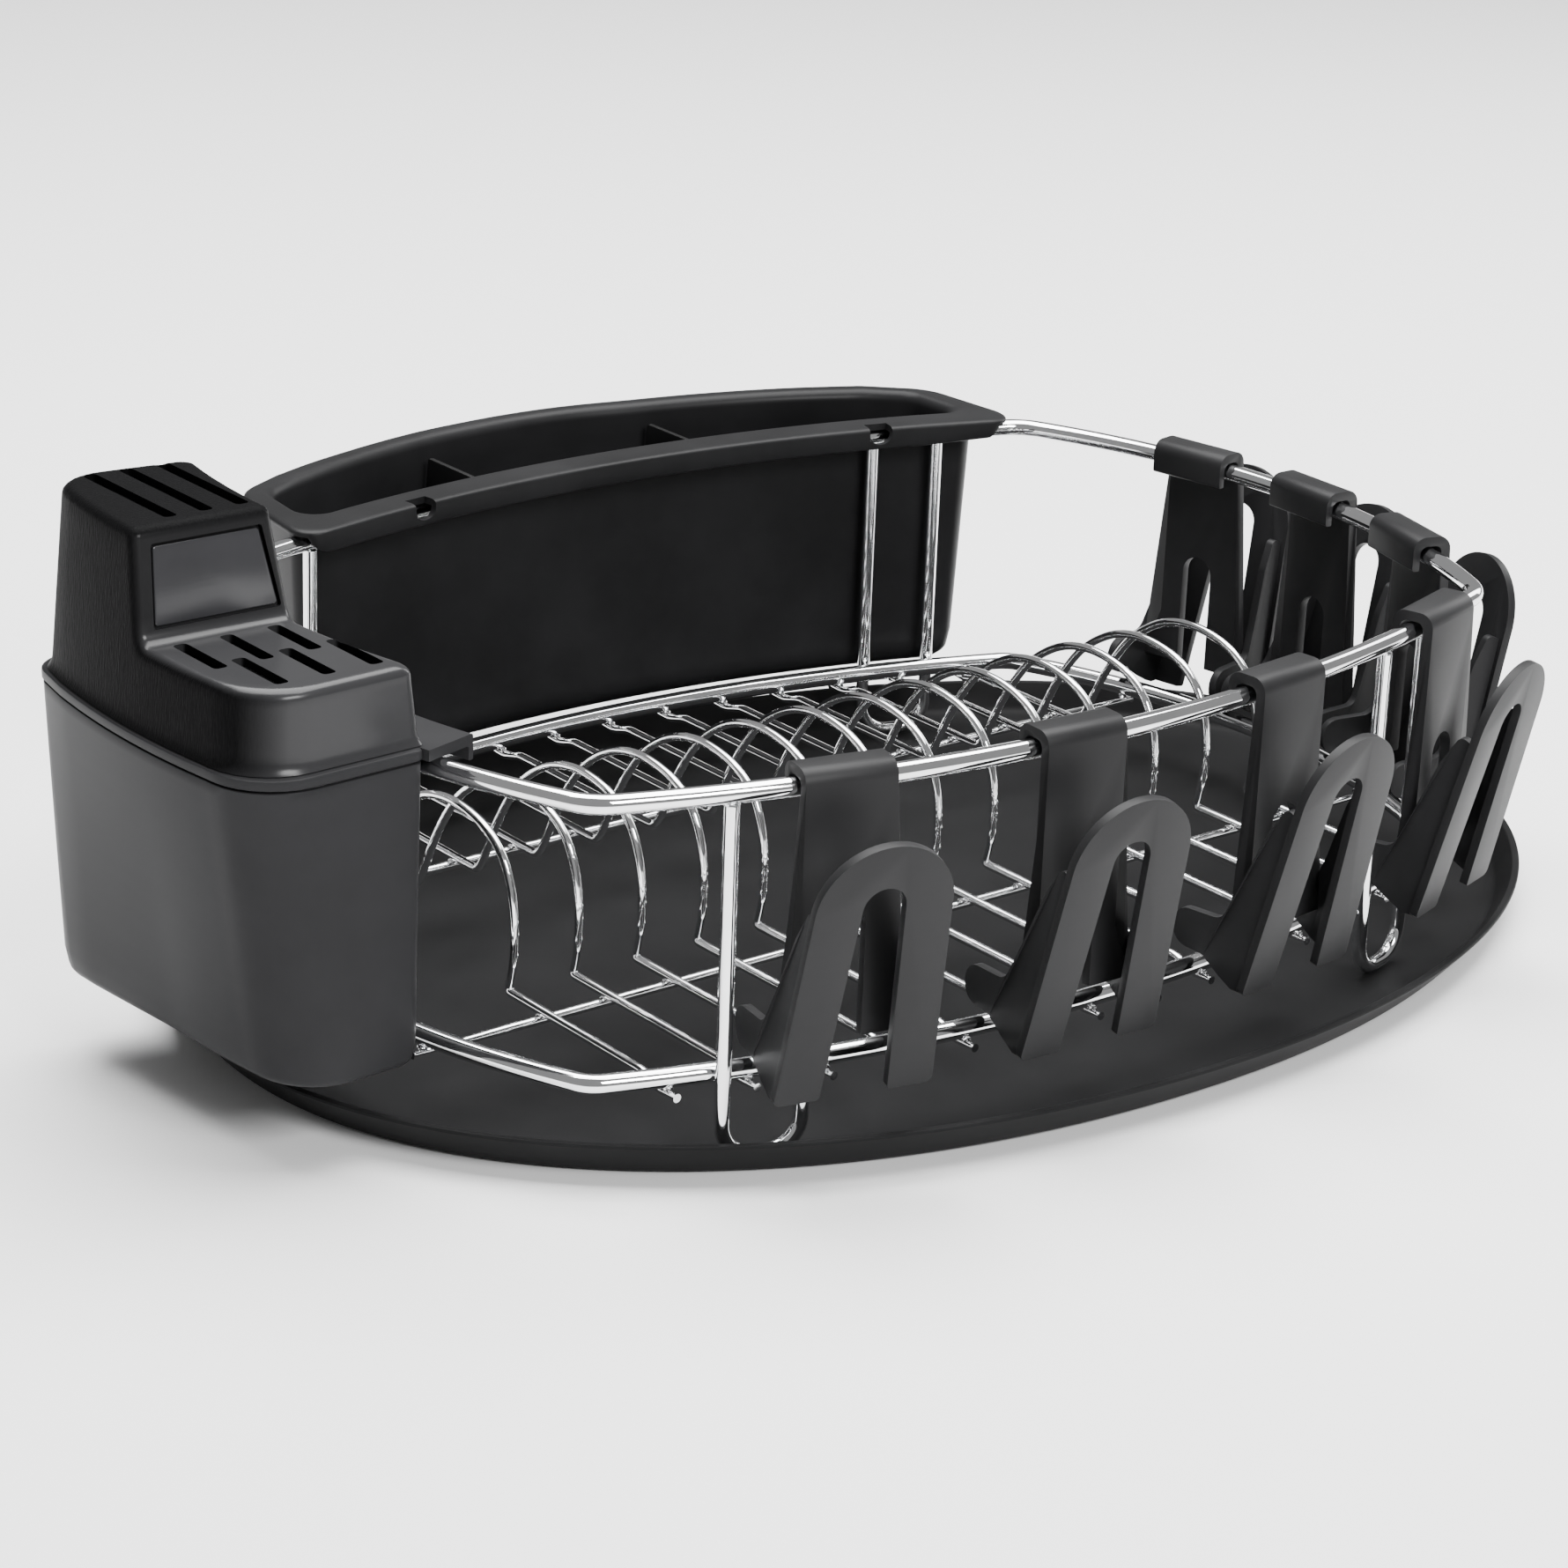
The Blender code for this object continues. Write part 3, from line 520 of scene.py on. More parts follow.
def plastic(name, colour, lighter, roughness, grain=0.10, specular=0.30):
    """Moulded black plastic: fine spark-eroded grain, soft patches of gloss, light haze."""
    mat, nodes, links, shader = new_material(name)
    place = nodes.new("ShaderNodeTexCoord").outputs["Object"]
    fine = noise(nodes, links, place, GRAIN_SCALE, 3.0, 0.6)
    broad = noise(nodes, links, place, 22.0, 4.0, 0.55)
    flow = noise(nodes, links, place, 60.0, 2.0, 0.5, stretch=(0.5, 0.5, 3.0))
    tone = ramp(nodes, links, broad, 0.35, 0.68, 0.0, 1.0)
    links.new(colour_mix(nodes, links, tone, colour, lighter), shader.inputs["Base Color"])
    gloss = ramp(nodes, links, broad, 0.3, 0.7, roughness - 0.03, roughness + 0.05)
    rough = math_node(nodes, links, "MULTIPLY_ADD", fine, 0.06, gloss)
    links.new(rough, shader.inputs["Roughness"])
    pitted = bump(nodes, links, fine, grain, GRAIN_DEPTH)
    links.new(bump(nodes, links, flow, 0.06, 0.0008, pitted), shader.inputs["Normal"])
    shader.inputs["IOR"].default_value = PLASTIC_IOR
    shader.inputs["Specular IOR Level"].default_value = specular
    return mat


def chrome(name):
    """Bright chrome plate with faint drawing lines, dulled patches and water haze."""
    mat, nodes, links, shader = new_material(name)
    place = nodes.new("ShaderNodeTexCoord").outputs["Object"]
    broad = noise(nodes, links, place, 55.0, 3.0)
    fine = noise(nodes, links, place, 1400.0, 2.0)
    tone = ramp(nodes, links, broad, 0.35, 0.7, 0.0, 1.0)
    colour = colour_mix(nodes, links, tone, (0.93, 0.93, 0.94), (0.85, 0.86, 0.87))
    links.new(colour, shader.inputs["Base Color"])
    haze = ramp(nodes, links, broad, 0.3, 0.75, 0.035, 0.085)
    links.new(haze, shader.inputs["Roughness"])
    links.new(bump(nodes, links, fine, 0.05, 0.0001), shader.inputs["Normal"])
    shader.inputs["Metallic"].default_value = 1.0
    return mat


def block_plastic(name):
    """Satin black step with the block's front above it painted darker as shade, and deep moulded
    texture on the tall block's top and down the left side, whose near-black colour there is partly the
    texture's own and partly painted shade.
    """
    mat, nodes, links, shader = new_material(name)
    coordinates = nodes.new("ShaderNodeTexCoord")
    place = coordinates.outputs["Object"]
    height = nodes.new("ShaderNodeSeparateXYZ")
    links.new(place, height.inputs["Vector"])
    facing = nodes.new("ShaderNodeSeparateXYZ")
    links.new(coordinates.outputs["Normal"], facing.inputs["Vector"])
    z = height.outputs["Z"]
    painted_front_shade = ramp(nodes, links, z, (LID_STEP - 0.5) * MM, (LID_STEP + 8.5) * MM, 0.0, 1.0)
    top = ramp(nodes, links, z, (LID_TOP - 3.5) * MM, (LID_TOP - 1.5) * MM, 0.0, 1.0)
    left = ramp(nodes, links, facing.outputs["X"], -0.30, -0.85, 0.0, 1.0)
    grain_and_painted_shade = math_node(nodes, links, "MAXIMUM", top, left)

    broad = noise(nodes, links, place, 24.0, 4.0, 0.55)
    fine = noise(nodes, links, place, GRAIN_SCALE, 3.0, 0.6)
    lines = noise(nodes, links, place, 1500.0, 2.0, 0.6, stretch=(1.0, 1.0, 0.14))
    # Painted shade: the block's front above the step takes a darker copy of the step's satin colour.
    step = colour_mix(nodes, links, broad, (0.020, 0.020, 0.0210), (0.027, 0.027, 0.0284))
    front = colour_mix(nodes, links, broad, (0.0090, 0.0090, 0.0095), (0.0125, 0.0125, 0.0131))
    satin = colour_mix(nodes, links, painted_front_shade, step, front)
    # Near-black colour of the textured zone: partly the moulded grain's own tone, partly painted shade
    # on the left-facing side and the top.
    deep = colour_mix(nodes, links, lines, (0.0016, 0.0016, 0.0017), (0.0070, 0.0070, 0.0074))
    links.new(colour_mix(nodes, links, grain_and_painted_shade, satin, deep), shader.inputs["Base Color"])
    coat = ramp(nodes, links, grain_and_painted_shade, 0.0, 1.0, 0.55, 0.0)
    links.new(coat, shader.inputs["Coat Weight"])
    shader.inputs["Coat Roughness"].default_value = 0.22
    shader.inputs["Coat IOR"].default_value = 1.42

    gloss = ramp(nodes, links, grain_and_painted_shade, 0.0, 1.0, 0.28, 0.44)
    rough = math_node(nodes, links, "MULTIPLY_ADD", broad, 0.10, gloss)
    links.new(rough, shader.inputs["Roughness"])
    pitted = bump(nodes, links, fine, 0.10, GRAIN_DEPTH)
    relief = math_node(nodes, links, "MULTIPLY", lines, grain_and_painted_shade)
    links.new(bump(nodes, links, relief, 0.5, 0.0004, pitted), shader.inputs["Normal"])
    shader.inputs["IOR"].default_value = PLASTIC_IOR
    shader.inputs["Specular IOR Level"].default_value = 0.02
    return mat


CHROME = chrome("polished_chrome_plate")
TRAY_BLACK = plastic(
    "tray_satin_black", (0.0120, 0.0120, 0.0123), (0.0150, 0.0150, 0.0154), 0.34, specular=0.022
)
CADDY_BLACK = plastic(
    "caddy_satin_black", (0.0195, 0.0195, 0.0205), (0.0235, 0.0235, 0.0247), 0.30, specular=0.045
)
BLOCK_BLACK = block_plastic("block_moulded_black")
BIN_BLACK = plastic(
    "bin_satin_black", (0.0090, 0.0090, 0.0094), (0.0135, 0.0135, 0.0142), 0.34, specular=0.12
)
DIVIDER_BLACK = plastic(
    "divider_matt_black", (0.0035, 0.0035, 0.0037), (0.0055, 0.0055, 0.0057), 0.45, specular=0.2
)
HOLDER_BLACK = plastic(
    "holder_matt_black", (0.0110, 0.0110, 0.0116), (0.0150, 0.0150, 0.0157), 0.42, specular=0.18
)
PANEL_GLOSS = plastic(
    "panel_gloss_grey", (0.024, 0.024, 0.026), (0.031, 0.031, 0.034), 0.16, grain=0.02, specular=0.6
)


# ---------------------------------------------------------------- tray

def build_tray():
    """Dish of one section, (inset from the outer edge, height), run round the oval."""
    section = fillet(
        [(13.0, 0.0), (10.5, 0.5), (0.2, 12.5), (0.2, TRAY_RIM), (2.7, TRAY_RIM), (8.5, 4.0),
         (12.5, TRAY_FLOOR)],
        [0.0, 3.0, 0.4, 0.5, 0.8, 5.0, 0.0], steps=5,
    )
    section = [(16.0, 0.0)] + section + [(18.0, TRAY_FLOOR)]
    rings = [
        level(superellipse(TRAY_A - gap, TRAY_B - gap, TRAY_POWER, TRAY_SEGMENTS, TRAY_CX), z)
        for gap, z in section
    ]
    obj = raw_object("tray", loft(rings))
    piece(obj, "tray", TRAY_BLACK, ["drip_tray"])


# ---------------------------------------------------------------- wires

RAIL_STEPS = (28, 14, 24)
RAIL_SIDES = 24
LEG_SIDES = 18
THIN_WIRE_SIDES = 14
CROSS_WIRE_Z = PLATE_WIRE_Z - 2 * PLATE_WIRE_R - GAP


def plate_wire_path(x):
    """From the front rail's underside up over the arch to the back rail's underside."""
    y_front = front_y(x)
    y_back = -y_front
    low = -PLATE_WIRE_DIP
    arch = spline(ARCH, 4)
    coarse = [(y_front - RAIL_R - NUB, low), (y_front + 4.0, low), (y_front + 13.0, 0.0)]
    front = fillet(coarse + [(-38.3, 0.0), arch[0]], [0, 14, 14, 2.4, 0], steps=5)
    back = fillet(
        [arch[-1], (52.6, 0.0), (y_back - 13.0, 0.0), (y_back - 4.0, low),
         (y_back + RAIL_R + 1.5, low)],
        [0, 4.5, 14, 14, 0], steps=5,
    )
    path = front[:-1] + arch + back[1:]
    return [(x, y, PLATE_WIRE_Z + z) for y, z in path]


def leg_path(angle):
    """U of wire in the plane along the rail, from the top rail down to the tray."""
    offset = RAIL_R + LEG_R + GAP
    mx, my = rail_point(angle, offset)
    tx, ty = -math.sin(angle), math.cos(angle)
    top = TOP_RAIL_Z - RAIL_R - GAP
    foot = TRAY_FLOOR + GAP + LEG_R
    half = LEG_SPACING / 2
    path = [(-half, top), (-half, 95.0), (-half, 60.0), (-half, 32.0)]
    for k in range(13):
        t = math.pi / 2 * k / 12
        path.append((-half + LEG_BEND * (1 - math.cos(t)), foot + LEG_BEND * (1 - math.sin(t))))
    path += [(-u, z) for u, z in reversed(path)]
    return [(mx + tx * u, my + ty * u, z) for u, z in path]


def build_wires():
    angles = rail_angles(*RAIL_STEPS)
    for name, offset, z in (
        ("top_rail_wire", TOP_OFFSET, TOP_RAIL_Z), ("bottom_rail_wire", 0.0, BOTTOM_RAIL_Z)
    ):
        path = [(*rail_point(a, offset), z) for a in angles]
        obj = raw_object(name, tube(path, RAIL_R, RAIL_SIDES, closed=True))
        piece(obj, "rack", CHROME, [name[:-5]])
    for i in range(PLATE_WIRE_COUNT):
        x = PLATE_WIRE_X0 + PLATE_WIRE_PITCH * i
        wire = tube(plate_wire_path(x), PLATE_WIRE_R, THIN_WIRE_SIDES, trimmed_ends=True)
        obj = raw_object(f"plate_arch_{i + 1:02d}", wire)
        piece(obj, "rack", CHROME, [f"plate_wire_{i + 1:02d}"])
    for side, y in zip(("front", "back"), CROSS_WIRE_Y):
        reach = side_x(y) + RAIL_R + 1.0
        path = [(-reach + 2 * reach * k / 12, y, CROSS_WIRE_Z) for k in range(13)]
        wire = tube(path, PLATE_WIRE_R, THIN_WIRE_SIDES, trimmed_ends=True)
        obj = raw_object(f"cross_rod_{side}", wire)
        piece(obj, "rack", CHROME, [f"cross_wire_{side}"])
    right = front_angle(LEG_X, TOP_OFFSET)
    legs = (
        ("front_right", right), ("front_left", -math.pi - right),
        ("back_right", -front_angle(BACK_RIGHT_LEG_X, TOP_OFFSET)), ("back_left", math.pi + right),
    )
    for name, angle in legs:
        obj = raw_object(f"u_leg_{name}", tube(leg_path(angle), LEG_R, LEG_SIDES))
        piece(obj, "rack", CHROME, [f"leg_{name}"])
    build_welds(legs)


def build_welds(legs):
    """Small flash where wires are spot welded together."""
    shapes = []
    low = PLATE_WIRE_Z - PLATE_WIRE_DIP
    for i in range(PLATE_WIRE_COUNT):
        x = PLATE_WIRE_X0 + PLATE_WIRE_PITCH * i
        for y in CROSS_WIRE_Y:
            shapes.append(blob((x, y, PLATE_WIRE_Z - PLATE_WIRE_R - 0.15), 1.7, 1.7, 0.75))
        for y in (front_y(x), -front_y(x)):
            shapes.append(blob((x, y, low + PLATE_WIRE_R + 0.1), 1.9, 2.4, 0.8))
    for y in CROSS_WIRE_Y:
        for s in (-1, 1):
            z = CROSS_WIRE_Z + PLATE_WIRE_R + 0.45
            shapes.append(blob((s * side_x(y), y, z), 2.2, 1.9, 0.9))
    for _, angle in legs:
        tx, ty = -math.sin(angle), math.cos(angle)
        for u in (-LEG_SPACING / 2, LEG_SPACING / 2):
            x, y = rail_point(angle, RAIL_R + 0.1)
            shapes.append(blob((x + tx * u, y + ty * u, BOTTOM_RAIL_Z), 1.3, 1.3, 2.6))
            x, y = rail_point(angle, RAIL_R + LEG_R + GAP)
            z = TOP_RAIL_Z - RAIL_R - 0.1
            shapes.append(blob((x + tx * u, y + ty * u, z), 2.7, 2.7, 0.9))
    obj = raw_object("weld_beads", join_shapes(shapes))
    piece(obj, "rack", CHROME)


# ---------------------------------------------------------------- caddy

def caddy_left_x(y):
    """The bowed left side's x at this y."""
    return CADDY_LEFT + CADDY_BOW * ((y + 5.0) / 58.0) ** 2


def caddy_outline(left_in, other_in, right_in, wall_ys=None, corner=4.0, left_draft=0.0):
    """Counter-clockwise outline. The right wall runs concentric with the rail."""
    def left_x(y):
        """Left side's x with its draft, which eases off to the back."""
        ease = 1.0 - 0.85 * max(0.0, (y + 12.0) / 74.5) ** 1.5
        return caddy_left_x(y) + left_in + left_draft * ease

    offset = TOP_OFFSET + RAIL_CLEAR + right_in
    y0 = CADDY_FRONT + 1.2 + other_in
    y1 = CADDY_BACK - 3.0 - other_in
    if wall_ys is None:
        wall_ys = [-48.0 + 86.0 * k / 22 for k in range(23)]
    front_corner = CADDY_FRONT - 1.6 + other_in
    back_corner = CADDY_BACK + 1.8 - other_in
    corners = [(-side_x(y0, offset), y0, corner)]
    corners += [(-side_x(y, offset), y, 0) for y in wall_ys]
    corners += [(-side_x(y1, offset), y1, corner)]
    corners += [(left_x(CADDY_BACK) + 0.6, back_corner, CADDY_BACK_LEFT_R)]
    corners += [(left_x(y), y, 0) for y in reversed(wall_ys)]
    corners += [(left_x(-60.0) + 0.4, front_corner, CADDY_FRONT_LEFT_R)]
    radii = [c[2] for c in corners]
    return fillet([c[:2] for c in corners], radii, steps=CADDY_CORNER_STEPS, closed=True)


def caddy_ring(gap, z):
    """The caddy's outline at this height, gap inside its outer face."""
    share = 1.0 - (z - CADDY_BOTTOM) / (RIM_TOP - CADDY_BOTTOM)
    outline = caddy_outline(
        gap, 0.6 * share + gap, 1.0 * share + gap, left_draft=CADDY_DRAFT * share
    )
    return level(outline, z)


def rail_sweep(profile, angles):
    """Sweeps a profile of (outward from the top rail's line, height) along the rail."""
    return loft([[(*rail_point(a, TOP_OFFSET + o), z) for o, z in profile] for a in angles])


def build_caddy():
    outer = fillet(
        [(7.0, CADDY_BOTTOM), (1.0, CADDY_BOTTOM), (0.0, CADDY_BOTTOM + 9.0)], [0, 4.0, 0], steps=7
    )
    wall = [(0.0, z) for z in (45.0, 62.0, 79.0, 96.0, 112.0, 124.0, 127.4)]
    strip = [(0.15, 127.65), (0.9, 127.8), (0.9, 128.35), (0.0, 128.5), (-0.3, 128.75)]
    strip += [(-0.3, 129.6), (-0.3, 130.8), (-0.15, 131.5), (0.25, 131.9), (0.8, RIM_TOP)]
    mouth = fillet(
        [(0.8, RIM_TOP), (6.6, RIM_TOP), (6.6, 129.4), (CADDY_WALL, 127.0)], [0, 0.6, 0.4, 0], steps=3
    )[1:]
    inside = [(CADDY_WALL, z) for z in (100.0, 60.0, CADDY_BOTTOM + 9.0)]
    inside += [(3.2, CADDY_BOTTOM + 4.6), (6.0, CADDY_BOTTOM + 2.8)]
    rings = [caddy_ring(gap, z) for gap, z in outer + wall + strip + mouth + inside]
    top = RIM_TOP - 0.05
    profile = fillet(
        [(RAIL_CLEAR + 1.4, top), (PLATE_REACH, top), (PLATE_REACH, 123.6), (PLATE_REACH + 2.0, 123.6),
         (PLATE_REACH + 2.0, RAIL_COVER), (RAIL_CLEAR + 1.4, RAIL_COVER)],
        [0, 0.9, 0.5, 0.5, 0.8, 0], steps=4,
    )
    start = math.pi + side_angle(70.0, TOP_OFFSET)
    end = math.pi - side_angle(60.6, TOP_OFFSET)
    angles = [start + (end - start) * k / 24 for k in range(25)]
    obj = solid("caddy_shell", loft(rings), add=[rail_sweep(profile, angles)])
    piece(obj, "caddy", CADDY_BLACK, ["cutlery_caddy"], angle=34.0)


# ---------------------------------------------------------------- knife block

LID_CORNER = 3.6
LID_HEIGHT = 60.0
BLOCK_FOOT_Y = -9.4
BLOCK_LEAN = 6.6
LONG_SLOT_X = (-256.0, -243.5, -231.0)
BACK_SLOT_X = (-263.6, -247.6, -231.0)
FRONT_SLOT_X = (-255.6, -239.3, -222.7)


def lid_profile(steps, drop, back_shift):
    """(y, z, ny, nz) along the top: step, concave sweep, block front, block top."""
    foot = BLOCK_FOOT_Y + back_shift
    bend = [(-45.0, LID_STEP - drop), (foot, LID_STEP - drop),
            (foot + BLOCK_LEAN, LID_TOP - drop), (40.0, LID_TOP - drop)]
    line = fillet(bend, [0, 5.0, 3.6, 0], steps=steps)
    flat_front = [line[0], (-38.0, line[0][1]), (-30.0, line[0][1]), (-22.0, line[0][1])]
    flat_back = [(12.0, line[-1][1]), (22.0, line[-1][1]), (32.0, line[-1][1]), line[-1]]
    mid = line[1:-1]
    slope_a, slope_b = mid[steps], mid[steps + 1]
    extra = [
        (slope_a[0] + (slope_b[0] - slope_a[0]) * t, slope_a[1] + (slope_b[1] - slope_a[1]) * t)
        for t in (0.2, 0.4, 0.6, 0.8)
    ]
    line = flat_front + mid[:steps + 1] + extra + mid[steps + 1:] + flat_back
    out = []
    for i, (y, z) in enumerate(line):
        a = line[max(0, i - 1)]
        b = line[min(len(line) - 1, i + 1)]
        dy, dz = b[0] - a[0], b[1] - a[1]
        length = math.hypot(dy, dz)
        out.append((y, z, -dz / length, dy / length))
    out[0] = (*line[0], 0.0, 1.0)
    out[-1] = (*line[-1], 0.0, 1.0)
    return out


def lid_insets(z, gap):
    """How far the lid's left, front and right walls stand inside the caddy's at this height."""
    t = (z - LID_BASE) / LID_HEIGHT
    flare = 0.0 if gap > 0 else 1.0 * max(0.0, 1.0 - max(0.0, z - LID_BASE) / 3.6) ** 2
    left = 1.9 + 4.3 * t + gap - flare
    front = 3.2 + 2.8 * t + gap - flare
    right = -1.6 + 5.2 * t + gap - 0.6 * flare
    return left, front, right


def lid_shape(radius, steps=8, round_steps=5, gap=0.0, drop=0.0, back_shift=0.0, base=LID_BASE):
    """The block's skin: walls from its base up to the profile, and rounded shoulders."""
    profile = lid_profile(steps, drop, back_shift)
    count = len(profile)
    arc = CADDY_CORNER_STEPS
    cache = {}

    def outline(depth, extra, z):
        key = (round(depth, 4), round(extra, 4), round(z, 3))
        if key not in cache:
            ys = [y - ny * depth for y, _, ny, _ in profile]
            cache[key] = caddy_outline(*lid_insets(z, gap + extra), wall_ys=ys, corner=LID_CORNER)
        return cache[key]

    def station(index):
        """Which profile point this outline point belongs to."""
        first = arc + 1
        if index < first:
            return 0
        if index < first + count:
            return index - first
        back = first + count + 2 * (arc + 1)
        if index < back:
            return count - 1
        if index < back + count:
            return count - 1 - (index - back)
        return 0

    total = 2 * count + 4 * (arc + 1)

    def ring(depth, extra, share=1.0, absolute=None):
        points = []
        for i in range(total):
            _, z_top, _, nz = profile[station(i)]
            z = z_top - nz * depth
            z = base + (z - base) * share if absolute is None else absolute
            x, y = outline(depth, extra, z)[i]
            points.append((x, y, z))
        return points

    rings = [ring(radius, 0.0, absolute=base)]
    for lift in (0.5, 1.2, 2.2, 3.4, 6.0):
        rings.append(ring(radius, 0.0, absolute=base + lift))
    for share in (0.45, 0.7, 0.9, 1.0):
        rings.append(ring(radius, 0.0, share=share))
    for k in range(1, round_steps + 1):
        t = math.pi / 2 * k / round_steps
        rings.append(ring(radius * (1 - math.sin(t)), radius * (1 - math.cos(t))))
    verts, faces = loft(rings, cap_end=False)
    last = (len(rings) - 1) * total
    right = [last + arc + 1 + j for j in range(count)]
    left_start = arc + 1 + count + 2 * (arc + 1)
    left = [last + left_start + count - 1 - j for j in range(count)]
    for j in range(count - 1):
        faces.append((right[j], right[j + 1], left[j + 1], left[j]))
    front = [last + i for i in range(left_start + count, total)]
    front += [last + i for i in range(arc + 1)]
    faces.append(tuple([left[0]] + front + [right[0]]))
    back = [last + i for i in range(arc + 1 + count, left_start)]
    faces.append(tuple([right[-1]] + back + [left[-1]]))
    return verts, faces


def slot_shape(x, y0, y1, width, z0, z1):
    """Long slot with rounded corners."""
    h = width / 2
    outline = fillet(
        [(x - h, y0), (x + h, y0), (x + h, y1), (x - h, y1)], 1.5, steps=4, closed=True
    )
    return loft([level(outline, z0), level(outline, z1)])


def panel_shape(shrink, start, depth, corner):
    """Rectangular plate let into the block's front face; start and depth run inward."""
    rise = LID_TOP - LID_STEP
    slope = Vector((0.0, BLOCK_LEAN, rise)).normalized()
    inward = Vector((0.0, slope.z, -slope.y))
    low, high = 161.6 + shrink, 187.0 - shrink
    corners = [
        (-269.3 + shrink, low), (-224.9 - shrink, low), (-228.9 - shrink, high), (-267.2 + shrink, high)
    ]
    outline = fillet(corners, corner, steps=4, closed=True)
    face = [Vector((x, BLOCK_FOOT_Y + BLOCK_LEAN * (z - LID_STEP) / rise, z)) for x, z in outline]
    return loft([[tuple(p + inward * t) for p in face] for t in (start, depth)])


def build_lid():
    outer = lid_shape(3.2)
    hollow = lid_shape(
        1.0, steps=4, round_steps=2, gap=2.6, drop=2.6, back_shift=6.0, base=LID_BASE + 1.6
    )
    skirt_outer = caddy_outline(7.0, 7.0, 7.0)
    skirt = loft([level(skirt_outer, 125.5), level(skirt_outer, LID_BASE + 1.0)])
    inner = caddy_outline(9.0, 9.0, 9.0)
    passage = loft([level(inner, 124.0), level(inner, LID_BASE + 4.0)])
    cuts = [hollow, passage, panel_shape(0.0, -1.5, 2.0, 1.0)]
    cuts += [slot_shape(x, 3.0, 53.5, 4.6, 186.0, 195.0) for x in LONG_SLOT_X]
    cuts += [slot_shape(x, -38.0, -13.0, 4.8, 152.0, 160.0) for x in BACK_SLOT_X]
    cuts += [slot_shape(x, -59.0, -33.0, 4.8, 152.0, 160.0) for x in FRONT_SLOT_X]
    obj = solid("knife_block", outer, add=[skirt], cut=cuts)
    piece(obj, "knife_block", BLOCK_BLACK, ["knife_block_lid"], angle=34.0)
    panel = solid("gloss_panel", panel_shape(0.9, 0.5, 1.8, 1.0), bevel=0.4, segments=3)
    piece(panel, "knife_block", PANEL_GLOSS, ["block_panel"])


# ---------------------------------------------------------------- utensil bin

BIN_BACK = (
    (155.0, 178.6), (132.0, 189.3), (107.0, 198.2), (85.0, 204.2), (63.0, 209.0), (43.0, 213.4),
    (27.0, 215.4), (10.0, 216.0), (-8.0, 215.2), (-25.0, 213.6), (-44.0, 210.0), (-63.0, 205.2),
    (-81.0, 199.8), (-99.0, 193.0),
)
BIN_FRONT_STEPS = 48
SKIRT_LOW = 122.6
SKIRT_TURN = 10.0
NOTCH_X = (-75.0, 128.0)


def offset_polygon(points, amounts):
    """Moves edge i (from point i to the next) of a counter-clockwise polygon inward."""
    count = len(points)
    out = []
    for i in range(count):
        a, b, c = (Vector(points[(i + k) % count]) for k in (-1, 0, 1))
        d1, d2 = (b - a).normalized(), (c - b).normalized()
        n1, n2 = Vector((-d1.y, d1.x)), Vector((-d2.y, d2.x))
        m1, m2 = amounts[i - 1], amounts[i]
        det = n1.x * n2.y - n1.y * n2.x
        if abs(det) < 0.05:
            shift = (n1 + n2).normalized() * ((m1 + m2) / 2)
        else:
            shift = Vector(((m1 * n2.y - m2 * n1.y) / det, (m2 * n1.x - m1 * n2.x) / det))
        out.append((b.x + shift.x, b.y + shift.y))
    return out


def bin_outline(front=0.0, right=0.0, back=0.0, left=0.0, radii=(7.0, 13.0, 17.0, 7.0)):
    """Counter-clockwise body outline, each side moved inward by its own amount."""
    base = TOP_OFFSET + RAIL_CLEAR
    n = BIN_FRONT_STEPS
    xs = [-102.0 + 250.0 * k / n for k in range(n + 1)]
    points = [(x, -front_y(x, base)) for x in xs]
    points += [(173.2, -front_y(173.2, base)), (170.8, 164.4)]
    points += spline(BIN_BACK, 4)
    points += [(-118.0, 183.0), (-122.4, -front_y(-122.4, base))]
    back_count = 4 * (len(BIN_BACK) - 1) + 1
    amounts = [front] * (n + 1) + [right] + [back] * (back_count + 1) + [left] + [front]
    moved = offset_polygon(points, amounts)
    rounding = [0.0] * (n + 1) + [radii[0], radii[1]] + [0.0] * back_count + [radii[2], radii[3]]
    return fillet(moved, rounding, steps=8, closed=True)


def bin_band(gap=0.0):
    """Outer edge of the rim band."""
    return bin_outline(gap - 14.3, gap - 7.4, gap - 4.9, gap - 7.0, (9.0, 19.0, 22.0, 9.0))


def bin_mouth(gap=0.0):
    """Inner edge of the rim band: the opening."""
    return bin_outline(gap + 2.0, gap + 3.2, gap + 3.2, gap + 4.6, (7.0, 11.0, 14.0, 9.0))


def bin_body(gap, z):
    """The bin's drafted body at this height, gap inside its outer face."""
    share = (BIN_RIM - z) / (BIN_RIM - BIN_BOTTOM)
    side = gap + 5.0 * share
    return level(bin_outline(gap + 1.5 * share, gap - 3.5 + 3.5 * share, side, side), z)


